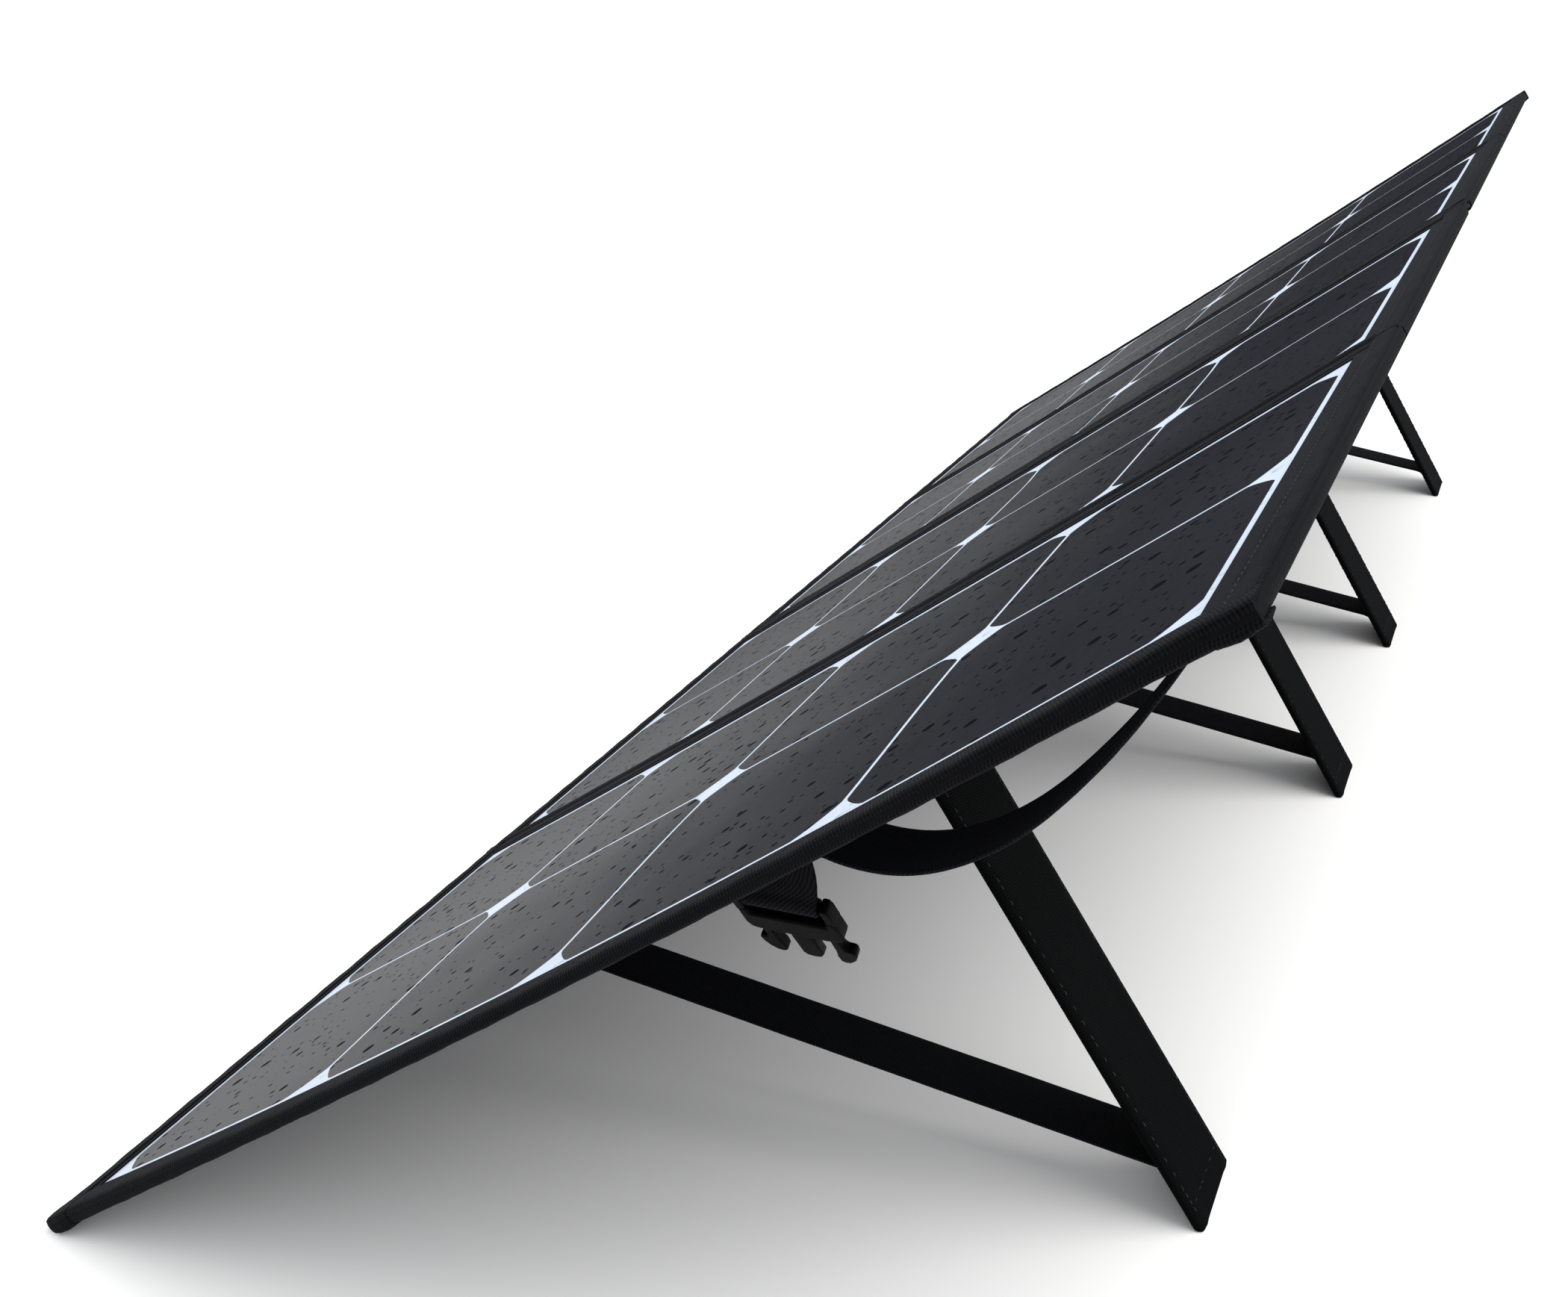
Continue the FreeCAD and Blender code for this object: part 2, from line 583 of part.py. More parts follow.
def junction_box():
    """A rounded shallow case, open at the back, with a way through one end for the gland."""
    case = block("jbox_case", "[jbox_length]", "[jbox_width]", "[jbox_depth]", "%g" % box_left,
                 "[jbox_low]", "%g" % box_floor)
    doc.recompute()
    rounded = doc.addObject("Part::Fillet", "jbox_rounded")
    rounded.Base = case
    corners = long_edges(case.Shape, FreeCAD.Vector(0, 0, 1), size("jbox_depth") / 2)
    radius = size("jbox_round")
    rounded.Edges = [(int(name[4:]), radius, radius) for name in corners]
    inside = block("jbox_inside", "[jbox_length] - 2 * [jbox_wall]",
                   "[jbox_width] - 2 * [jbox_wall]", "[jbox_depth] - [jbox_wall]",
                   "%g + [jbox_wall]" % box_left, "[jbox_low] + [jbox_wall]",
                   "%g" % box_floor)
    way = rod("jbox_way", "[gland_bore] + 1.2", "[jbox_wall] + 2", "%g - 1" % box_left,
              "[jbox_low] + [jbox_width] / 2", "%g - [jbox_depth] / 2" % fabric_back, "x")
    return cut("jbox", rounded, fuse("jbox_space", inside, way))


def box_lid():
    lid = block("lid_plate", "[jbox_length]", "[jbox_width]", "[lid_thick]", "%g" % box_left,
                "[jbox_low]", "%g - [lid_thick]" % box_floor)
    doc.recompute()
    rounded = doc.addObject("Part::Fillet", "lid_rounded")
    rounded.Base = lid
    corners = long_edges(lid.Shape, FreeCAD.Vector(0, 0, 1), size("lid_thick") / 2)
    radius = size("jbox_round")
    rounded.Edges = [(int(name[4:]), radius, radius) for name in corners]
    return rounded


def diode_board():
    """A small circuit board with three bypass diodes."""
    board_top = fabric_back - size("jbox_wall")
    plate = block("diode_plate", "70", "44", "1.6", "%g + 13" % box_left, "[jbox_low] + 9",
                  "%g - 1.6" % board_top)
    diodes = [rod("diode_%d" % i, "2.6", "9", "%g + %d" % (box_left, 22 + 18 * i),
                  "[jbox_low] + 31", "%g - 4" % board_top, "x") for i in range(3)]
    return fuse("diode_board", plate, *diodes)


def lead_gland():
    """The gland that the output lead would leave through: a nut outside, a spigot inside."""
    middle = ("[jbox_low] + [jbox_width] / 2", "%g - [jbox_depth] / 2" % fabric_back)
    nut = rod("gland_nut", "[gland_radius]", "[gland_length] - [jbox_wall]",
              "%g - [gland_length] + [jbox_wall]" % box_left, *middle, "x")
    spigot = rod("gland_spigot", "[gland_bore] + 1.2", "[jbox_wall] + 1", "%g - 1" % box_left,
                 *middle, "x")
    bore = rod("gland_hole", "[gland_bore]", "[gland_length] + 2",
               "%g - [gland_length]" % box_left, *middle, "x")
    return cut("gland", fuse("gland_body", nut, spigot), bore)


sub_part(junction_box(), "junction_box_case", ARRAY)
sub_part(box_lid(), "junction_box_lid", ARRAY)
sub_part(diode_board(), "junction_box_diodes", ARRAY)
sub_part(lead_gland(), "junction_box_gland", ARRAY)


# ---- check and write ---------------------------------------------------------------------

doc.recompute()
for item in doc.Objects:
    if "Invalid" in item.State or "Error" in item.State:
        raise SystemExit("failed: %s %s" % (item.Name, item.State))
for item in SUB_PARTS:
    if item.Shape.isNull() or not item.Shape.isValid() or item.Shape.Volume <= 0:
        raise SystemExit("bad shape: " + item.Label)
os.makedirs("parts", exist_ok=True)
for item in SUB_PARTS:
    item.Shape.exportStep("parts/%s.step" % item.Label)
print("wrote %d sub-parts" % len(SUB_PARTS))
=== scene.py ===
"""Looks of the folding solar panel: fabric, film, cells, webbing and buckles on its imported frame.

Pieces are drawn in the flat frame of the panels, in millimetres: x along the array with panel 1
at the +x end, y up the panel from its bottom edge, z out of its face from the front fabric.
"""

import json
import math
import random

import bmesh
import bpy
from mathutils import Matrix, Vector


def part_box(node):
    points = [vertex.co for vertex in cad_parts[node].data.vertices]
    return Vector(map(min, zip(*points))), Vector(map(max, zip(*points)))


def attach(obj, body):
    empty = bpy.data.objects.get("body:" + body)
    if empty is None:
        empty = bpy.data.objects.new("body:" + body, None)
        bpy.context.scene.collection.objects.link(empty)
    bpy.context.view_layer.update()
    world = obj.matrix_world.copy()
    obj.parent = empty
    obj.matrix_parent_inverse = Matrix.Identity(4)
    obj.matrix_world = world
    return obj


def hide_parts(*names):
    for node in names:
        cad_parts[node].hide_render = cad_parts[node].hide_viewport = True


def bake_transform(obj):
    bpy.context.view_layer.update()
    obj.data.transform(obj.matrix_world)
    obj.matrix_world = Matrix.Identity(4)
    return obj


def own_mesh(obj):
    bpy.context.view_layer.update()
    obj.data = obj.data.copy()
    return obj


MM = 0.001
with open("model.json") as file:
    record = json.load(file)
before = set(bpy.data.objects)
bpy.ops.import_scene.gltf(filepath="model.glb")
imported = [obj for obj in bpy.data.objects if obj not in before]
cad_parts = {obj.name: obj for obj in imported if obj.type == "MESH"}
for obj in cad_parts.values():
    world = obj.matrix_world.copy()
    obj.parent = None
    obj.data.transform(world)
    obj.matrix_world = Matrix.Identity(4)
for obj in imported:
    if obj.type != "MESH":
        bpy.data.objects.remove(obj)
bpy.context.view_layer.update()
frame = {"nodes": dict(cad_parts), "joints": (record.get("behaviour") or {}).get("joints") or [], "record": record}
joints = {joint["name"]: joint for joint in frame["joints"]}

# the flat frame, read off the first fold's hinge line
ALONG = Vector((1, 0, 0))
UP = Vector(joints["fold_12"]["axis"]).normalized()
OUT = ALONG.cross(UP)
PANEL_HIGH = 548.0
FOLD_FACE = 1.5          # the plane where two folded faces meet
FACE = 0.3               # front of the front fabric
FABRIC_BACK = -4.9       # back of the back fabric
BOARD_BACK = -4.3
EDGE_IN = 0.8            # the cloth and board stop this far inside the binding's outer edge
fold_12_x = joints["fold_12"]["pos_m"][0] / MM
ORIGIN = Vector(joints["fold_12"]["pos_m"])
ORIGIN -= (ALONG * fold_12_x + UP * (PANEL_HIGH / 2) + OUT * FOLD_FACE) * MM

WINDOW_LOW = 16.0
WINDOW_HIGH = 530.0
WHITE_MARGIN = 4.0
CELL = 125.0
CELL_PITCH = 127.0
WAFER_RADIUS = 80.0
SAG = {1: 5.2, 2: 4.8, 3: 3.5, 4: 5.1}
INNER_SHARE = 0.42       # of the belly, at every edge but panel 1's free one
LEG_WIDE = 44.0
LEG_ROUND = 1.9          # of the sleeve's long edges
LEG_FACE = 2.18          # where thread lies on the sleeve
STRAP_THICK = 1.3
STRAP_WIDE = 25.0


def at(x, y, z):
    """A point of the flat frame, in the row frame."""
    return ORIGIN + (ALONG * x + UP * y + OUT * z) * MM


def flat(point):
    """A point of the row frame, in the flat frame."""
    away = (Vector(point) - ORIGIN) / MM
    return Vector((away.dot(ALONG), away.dot(UP), away.dot(OUT)))


def smooth(t):
    """Eases a value from 0 to 1 along a smooth S."""
    t = min(max(t, 0.0), 1.0)
    return t * t * (3 - 2 * t)


outer = {}
window = {}
for number in (1, 2, 3, 4):
    low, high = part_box("panel_%d_edge_binding" % number)
    outer[number] = (low.x / MM, high.x / MM)
    low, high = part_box("panel_%d_cells" % number)
    window[number] = (low.x / MM - WHITE_MARGIN, high.x / MM + WHITE_MARGIN)


def belly(number, y):
    """How far a panel hangs back of flat at a height, between its top and bottom edges."""
    t = (y - WINDOW_LOW) / (WINDOW_HIGH - WINDOW_LOW)
    return SAG[number] * max(0.0, 4 * t * (1 - t))


def share(number, x):
    """The part of the belly that shows: all of it at panel 1's free edge, none at the spine."""
    free = smooth((x - 455.0) / 120.0) if number == 1 else 0.0
    return INNER_SHARE * smooth((abs(x) - 12.0) / 60.0) + (1 - INNER_SHARE) * free


def face_sag(number, x, y):
    """How far the front of a panel hangs back of flat."""
    return belly(number, y) * share(number, x)


def back_sag(number, x, y):
    """How far the back of a panel hangs back of flat: only near panel 1's free edge."""
    return belly(number, y) * max(0.0, share(number, x) - INNER_SHARE)


def fold_sag(middle, y):
    """How far the cloth of a fold hangs back of flat; the spine's stays flat."""
    if abs(middle) < 100:
        return 0.0
    return belly(1 if middle > 0 else 3, y) * INNER_SHARE


# ---- meshes ------------------------------------------------------------------------------

def new_piece(name, verts, faces, uvs, material, body=None, slot=None, replaces=(), soft=True):
    """A mesh piece from points in the row frame, with texture coordinates in millimetres."""
    data = bpy.data.meshes.new(name)
    data.from_pydata([tuple(v) for v in verts], [], faces)
    bm = bmesh.new()
    bm.from_mesh(data)
    bmesh.ops.recalc_face_normals(bm, faces=bm.faces)
    bm.to_mesh(data)
    bm.free()
    layer = data.uv_layers.new(name="cloth_mm")
    for loop in data.loops:
        layer.data[loop.index].uv = uvs[loop.vertex_index]
    data.polygons.foreach_set("use_smooth", [soft] * len(data.polygons))
    data.materials.append(material)
    piece = bpy.data.objects.new(name, data)
    bpy.context.scene.collection.objects.link(piece)
    if body:
        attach(piece, body)
    if replaces:
        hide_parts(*replaces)
    return piece


def crisp(piece, angle=35.0):
    """Keeps creases sharper than an angle and smooths the rest."""
    piece.data.set_sharp_from_angle(angle=math.radians(angle))
    return piece


def grid_slab(name, xs, ys, keep, top, bottom, material, **told):
    """A closed sheet over a grid of cells, leaving out the cells that keep refuses."""
    verts, uvs, index = [], [], {}

    def corner(i, j, side):
        if (i, j, side) not in index:
            index[(i, j, side)] = len(verts)
            z = top(xs[i], ys[j]) if side else bottom(xs[i], ys[j])
            verts.append(at(xs[i], ys[j], z))
            uvs.append((xs[i], ys[j]))
        return index[(i, j, side)]

    faces = []
    kept = {(i, j) for i in range(len(xs) - 1) for j in range(len(ys) - 1)
            if keep((xs[i] + xs[i + 1]) / 2, (ys[j] + ys[j + 1]) / 2)}
    for i, j in sorted(kept):
        ring = ((i, j), (i + 1, j), (i + 1, j + 1), (i, j + 1))
        faces.append([corner(a, b, 1) for a, b in ring])
        faces.append([corner(a, b, 0) for a, b in ring[::-1]])
        for side, (di, dj) in enumerate(((0, -1), (1, 0), (0, 1), (-1, 0))):
            if (i + di, j + dj) not in kept:
                (a, b), (c, d) = ring[side], ring[(side + 1) % 4]
                faces.append([corner(a, b, 0), corner(c, d, 0), corner(c, d, 1),
                              corner(a, b, 1)])
    return crisp(new_piece(name, verts, faces, uvs, material, **told))


def steps(start, stop, about):
    """Evenly spaced values from start to stop, about so far apart."""
    count = max(1, round(abs(stop - start) / about))
    return [start + (stop - start) * i / count for i in range(count + 1)]


def lofted(name, rings, ring_uvs, material, closed=False, **told):
    """A closed skin through rings of points, with flat ends unless the rings close up."""
    verts = [p for ring in rings for p in ring]
    uvs = [uv for ring in ring_uvs for uv in ring]
    n = len(rings[0])
    faces = []
    for i in range(len(rings) if closed else len(rings) - 1):
        a, b = i * n, (i + 1) % len(rings) * n
        for j in range(n):
            k = (j + 1) % n
            faces.append((a + j, a + k, b + k, b + j))
    if not closed:
        faces.append(tuple(range(n))[::-1])
        faces.append(tuple(range((len(rings) - 1) * n, len(rings) * n)))
    return new_piece(name, verts, faces, uvs, material, **told)


def strip_section(width, thick, crown=0.0):
    """Round-edged section of a flat strap: (across, off) pairs, counted from its middle."""
    half, r = width / 2, thick / 2
    points = []
    for side in (1, -1):
        for turn in (-90, -45, 0, 45, 90):
            a = math.radians(turn)
            points.append((side * (half - r + r * math.cos(a)), side * r * math.sin(a)))
        for i in range(1, 6):
            across = side * (half - r) * (1 - i / 3)
            bulge = crown * (1 - (across / half) ** 2)
            points.append((across, side * (r + bulge)))
    return points


def smooth_path(points, spacing, soften=0):
    """Points along a line at an even spacing, with its corners eased."""
    out = [points[0]]
    for a, b in zip(points, points[1:]):
        count = max(1, round((b - a).length / spacing))
        out += [a.lerp(b, i / count) for i in range(1, count + 1)]
    for _ in range(soften):
        out = [out[0]] + [(a + b * 2 + c) / 4 for a, b, c in zip(out, out[1:], out[2:])] + \
              [out[-1]]
    return out


def strap(name, points, across, width, thick, material, crown=0.0, ripple=0.0, slanted=False,
          **told):
    """A webbing strap along row-frame points, its width along a fixed direction or a list."""
    section = strip_section(width, thick, crown)
    rings, ring_uvs, run = [], [], 0.0
    for i, point in enumerate(points):
        ahead = (points[min(i + 1, len(points) - 1)] - points[max(i - 1, 0)]).normalized()
        wide = across[i] if isinstance(across, list) else across
        off = ahead.cross(wide).normalized()
        wide = wide if slanted else off.cross(ahead).normalized()
        if i:
            run += (point - points[i - 1]).length / MM
        wave = ripple * math.sin(run * 0.13) * math.sin(run * 0.037 + 1)
        rings.append([point + (wide * a + off * (b + wave)) * MM for a, b in section])
        ring_uvs.append([(run, a) for a, _ in section])
    return crisp(lofted(name, rings, ring_uvs, material, **told), 50)


def stitches(name, runs, material, long=2.6, gap=4.0, thick=0.42, **told):
    """Rows of thread: each run is a list of (row-frame point, outward direction) pairs."""
    verts, faces, uvs = [], [], []
    for run in runs:
        spent, due = 0.0, 1.0
        for (a, na), (b, nb) in zip(run, run[1:]):
            length = (b - a).length / MM
            while spent + length > due + long:
                t0, t1 = (due - spent) / length, (due + long - spent) / length
                if t0 >= 0:
                    add_stitch(verts, faces, uvs, a.lerp(b, t0), a.lerp(b, t1), na, thick)
                due += gap
            spent += length
    return new_piece(name, verts, faces, uvs, material, **told)


def add_stitch(verts, faces, uvs, a, b, out, thick):
    """One stitch: a thread that dives into the cloth at both ends."""
    ahead = (b - a).normalized()
    side = ahead.cross(out).normalized()
    base = len(verts)
    stations = ((0.0, 0.45, -0.6), (0.22, 1.0, 0.15), (0.78, 1.0, 0.15), (1.0, 0.45, -0.6))
    for t, fat, lift in stations:
        middle = a.lerp(b, t) + out * (lift * thick * MM)
        for k in range(6):
            turn = k * math.pi / 3
            r = thick / 2 * fat * MM
            verts.append(middle + side * (math.cos(turn) * r * 1.15) + out * (math.sin(turn) * r))
            uvs.append((t * 3.0, k * 0.2))
    for s in range(3):
        for k in range(6):
            m = (k + 1) % 6
            faces.append((base + s * 6 + k, base + s * 6 + m, base + s * 6 + 6 + m,
                          base + s * 6 + 6 + k))
    faces.append(tuple(base + k for k in range(6))[::-1])
    faces.append(tuple(base + 18 + k for k in range(6)))


# ---- node groups -------------------------------------------------------------------------

def group_tree(name, inputs, outputs):
    """An empty node group with its named inputs and outputs."""
    tree = bpy.data.node_groups.new(name, "ShaderNodeTree")
    for label, kind, value in inputs:
        made = tree.interface.new_socket(name=label, in_out="INPUT", socket_type=kind)
        if value is not None:
            made.default_value = value
    for label, kind in outputs:
        tree.interface.new_socket(name=label, in_out="OUTPUT", socket_type=kind)
    return tree, tree.nodes.new("NodeGroupInput"), tree.nodes.new("NodeGroupOutput")


def math_node(tree, operation, a, b=None, clamp=False):
    node = tree.nodes.new("ShaderNodeMath")
    node.operation = operation
    node.use_clamp = clamp
    for i, value in enumerate((a, b)):
        if value is None:
            continue
        if isinstance(value, (int, float)):
            node.inputs[i].default_value = value
        else:
            tree.links.new(value, node.inputs[i])
    return node.outputs[0]


def ramp(tree, value, low, high, out_low=0.0, out_high=1.0, kind="SMOOTHSTEP"):
    node = tree.nodes.new("ShaderNodeMapRange")
    node.interpolation_type = kind
    tree.links.new(value, node.inputs["Value"])
    for key, number in (("From Min", low), ("From Max", high), ("To Min", out_low),
                        ("To Max", out_high)):
        if isinstance(number, (int, float)):
            node.inputs[key].default_value = number
        else:
            tree.links.new(number, node.inputs[key])
    return node.outputs["Result"]


def noise(tree, vector, scale, detail=3.0, roughness=0.55):
    node = tree.nodes.new("ShaderNodeTexNoise")
    tree.links.new(vector, node.inputs["Vector"])
    node.inputs["Scale"].default_value = scale
    node.inputs["Detail"].default_value = detail
    node.inputs["Roughness"].default_value = roughness
    return node.outputs["Fac"]


def make_weave():
    """Woven ribs: slanted cords crossed by finer threads, from coordinates in millimetres."""
    tree, gin, gout = group_tree(
        "woven_ribs",
        (("Coordinates", "NodeSocketVector", None), ("Rib Spacing", "NodeSocketFloat", 1.0),
         ("Slant", "NodeSocketFloat", 0.4), ("Thread Spacing", "NodeSocketFloat", 0.7)),
        (("Height", "NodeSocketFloat"), ("Tone", "NodeSocketFloat")))
    split = tree.nodes.new("ShaderNodeSeparateXYZ")
    tree.links.new(gin.outputs["Coordinates"], split.inputs[0])
    u, v = split.outputs[0], split.outputs[1]
    slanted = math_node(tree, "ADD", u, math_node(tree, "MULTIPLY", v, gin.outputs["Slant"]))
    wobble = math_node(tree, "MULTIPLY", noise(tree, gin.outputs["Coordinates"], 0.25, 2), 0.9)
    slanted = math_node(tree, "ADD", slanted, wobble)
    turn = math_node(tree, "DIVIDE", slanted, gin.outputs["Rib Spacing"])
    ribs = math_node(tree, "SINE", math_node(tree, "MULTIPLY", turn, 2 * math.pi))
    across = math_node(tree, "DIVIDE", v, gin.outputs["Thread Spacing"])
    threads = math_node(tree, "SINE", math_node(tree, "MULTIPLY", across, 2 * math.pi))
    ribs01 = ramp(tree, ribs, -1.0, 1.0)
    threads01 = ramp(tree, threads, -1.0, 1.0)
    both = math_node(tree, "ADD", math_node(tree, "MULTIPLY", ribs01, 0.7),
                     math_node(tree, "MULTIPLY", threads01, 0.3))
    tree.links.new(both, gout.inputs["Height"])
    fuzz = noise(tree, gin.outputs["Coordinates"], 2.2, 4, 0.7)
    tone = math_node(tree, "ADD", math_node(tree, "MULTIPLY", both, 0.6),
                     math_node(tree, "MULTIPLY", fuzz, 0.4))
    tree.links.new(tone, gout.inputs["Tone"])
    return tree


def make_rain():
    """Scattered drops of several sizes, a little longer up the slope than across it."""
    tree, gin, gout = group_tree(
        "rain_drops",
        (("Coordinates", "NodeSocketVector", None), ("Spacing", "NodeSocketFloat", 9.0),
         ("Largest", "NodeSocketFloat", 0.22), ("Missing", "NodeSocketFloat", 0.5)),
        (("Height", "NodeSocketFloat"), ("Mask", "NodeSocketFloat")))
    scaled = tree.nodes.new("ShaderNodeVectorMath")
    scaled.operation = "DIVIDE"
    spread = tree.nodes.new("ShaderNodeCombineXYZ")
    tree.links.new(gin.outputs["Spacing"], spread.inputs[0])
    longer = math_node(tree, "MULTIPLY", gin.outputs["Spacing"], 1.25)
    tree.links.new(longer, spread.inputs[1])
    spread.inputs[2].default_value = 1.0
    tree.links.new(gin.outputs["Coordinates"], scaled.inputs[0])
    tree.links.new(spread.outputs[0], scaled.inputs[1])
    cellular = tree.nodes.new("ShaderNodeTexVoronoi")
    cellular.voronoi_dimensions = "2D"
    cellular.inputs["Scale"].default_value = 1.0
    tree.links.new(scaled.outputs[0], cellular.inputs["Vector"])
    chance = tree.nodes.new("ShaderNodeSeparateColor")
    tree.links.new(cellular.outputs["Color"], chance.inputs[0])
    size = math_node(tree, "MULTIPLY", math_node(tree, "POWER", chance.outputs[1], 2.0),
                     gin.outputs["Largest"])
    size = math_node(tree, "ADD", size, 0.03)
    there = math_node(tree, "GREATER_THAN", chance.outputs[0], gin.outputs["Missing"])
    size = math_node(tree, "MULTIPLY", size, there)
    near = math_node(tree, "DIVIDE", cellular.outputs["Distance"],
                     math_node(tree, "MAXIMUM", size, 0.001))
    inside = math_node(tree, "SUBTRACT", 1.0, math_node(tree, "POWER", near, 2.0), clamp=True)
    height = math_node(tree, "MULTIPLY", math_node(tree, "SQRT", inside), size)
    tree.links.new(height, gout.inputs["Height"])
    tree.links.new(ramp(tree, inside, 0.0, 0.12), gout.inputs["Mask"])
    return tree


def make_mottle():
    """Slow and fine unevenness that handling leaves: two noises mixed to one value."""
    tree, gin, gout = group_tree(
        "mottle",
        (("Coordinates", "NodeSocketVector", None), ("Broad", "NodeSocketFloat", 0.02),
         ("Fine", "NodeSocketFloat", 0.6)),
        (("Value", "NodeSocketFloat"), ("Speck", "NodeSocketFloat")))
    broad = tree.nodes.new("ShaderNodeTexNoise")
    fine = tree.nodes.new("ShaderNodeTexNoise")
    for node, key in ((broad, "Broad"), (fine, "Fine")):
        tree.links.new(gin.outputs["Coordinates"], node.inputs["Vector"])
        tree.links.new(gin.outputs[key], node.inputs["Scale"])
        node.inputs["Detail"].default_value = 4.0
    mixed = math_node(tree, "ADD", math_node(tree, "MULTIPLY", broad.outputs["Fac"], 0.6),
                      math_node(tree, "MULTIPLY", fine.outputs["Fac"], 0.4))
    tree.links.new(mixed, gout.inputs["Value"])
    tree.links.new(ramp(tree, fine.outputs["Fac"], 0.66, 0.74), gout.inputs["Speck"])
    return tree


WEAVE = make_weave()
RAIN = make_rain()
MOTTLE = make_mottle()


# ---- materials ---------------------------------------------------------------------------

def place_group(tree, group, coordinates, **values):
    node = tree.nodes.new("ShaderNodeGroup")
    node.node_tree = group
    tree.links.new(coordinates, node.inputs["Coordinates"])
    for key, value in values.items():
        node.inputs[key.replace("_", " ").title()].default_value = value
    return node


def two_tone(tree, value, dark, light, low=0.2, high=0.8):
    node = tree.nodes.new("ShaderNodeMix")
    node.data_type = "RGBA"
    tree.links.new(ramp(tree, value, low, high, kind="LINEAR"), node.inputs["Factor"])
    node.inputs[6].default_value = (*dark, 1)
    node.inputs[7].default_value = (*light, 1)
    return node.outputs[2]


def start_material(name, mapped):
    material = bpy.data.materials.new(name)
    material.use_nodes = True
    tree = material.node_tree
    shader = tree.nodes["Principled BSDF"]
    if mapped:
        source = tree.nodes.new("ShaderNodeUVMap")
        source.uv_map = "cloth_mm"
        return material, tree, shader, source.outputs["UV"]
    source = tree.nodes.new("ShaderNodeTexCoord")
    scaled = tree.nodes.new("ShaderNodeVectorMath")
    scaled.operation = "SCALE"
    scaled.inputs["Scale"].default_value = 1 / MM
    tree.links.new(source.outputs["Object"], scaled.inputs[0])
    return material, tree, shader, scaled.outputs[0]


def bump(tree, shader, height, strength, distance):
    node = tree.nodes.new("ShaderNodeBump")
    node.inputs["Strength"].default_value = strength
    node.inputs["Distance"].default_value = distance
    tree.links.new(height, node.inputs["Height"])
    tree.links.new(node.outputs["Normal"], shader.inputs["Normal"])
    return node


def cloth(name, dark, light, rib, slant, thread, depth, rough=(0.72, 0.95), mapped=True,
          sheen=0.02, shine=0.05):
    """Woven cloth: ribbed height, two-tone threads, lint and a slow change of shade."""
    material, tree, shader, where = start_material(name, mapped)
    weave = place_group(tree, WEAVE, where, rib_spacing=rib, slant=slant, thread_spacing=thread)
    wear = place_group(tree, MOTTLE, where, broad=0.012, fine=0.35)
    shade = math_node(tree, "ADD", math_node(tree, "MULTIPLY", weave.outputs["Tone"], 0.65),
                      math_node(tree, "MULTIPLY", wear.outputs["Value"], 0.35))
    tree.links.new(two_tone(tree, shade, dark, light, 0.25, 0.75), shader.inputs["Base Color"])
    tree.links.new(ramp(tree, shade, 0.2, 0.8, rough[1], rough[0]), shader.inputs["Roughness"])
    bump(tree, shader, weave.outputs["Height"], 0.9, depth * MM)
    shader.inputs["Specular IOR Level"].default_value = shine
    shader.inputs["Sheen Weight"].default_value = sheen
    shader.inputs["Sheen Roughness"].default_value = 0.45
    shader.inputs["Sheen Tint"].default_value = (0.55, 0.58, 0.75, 1)
    return material


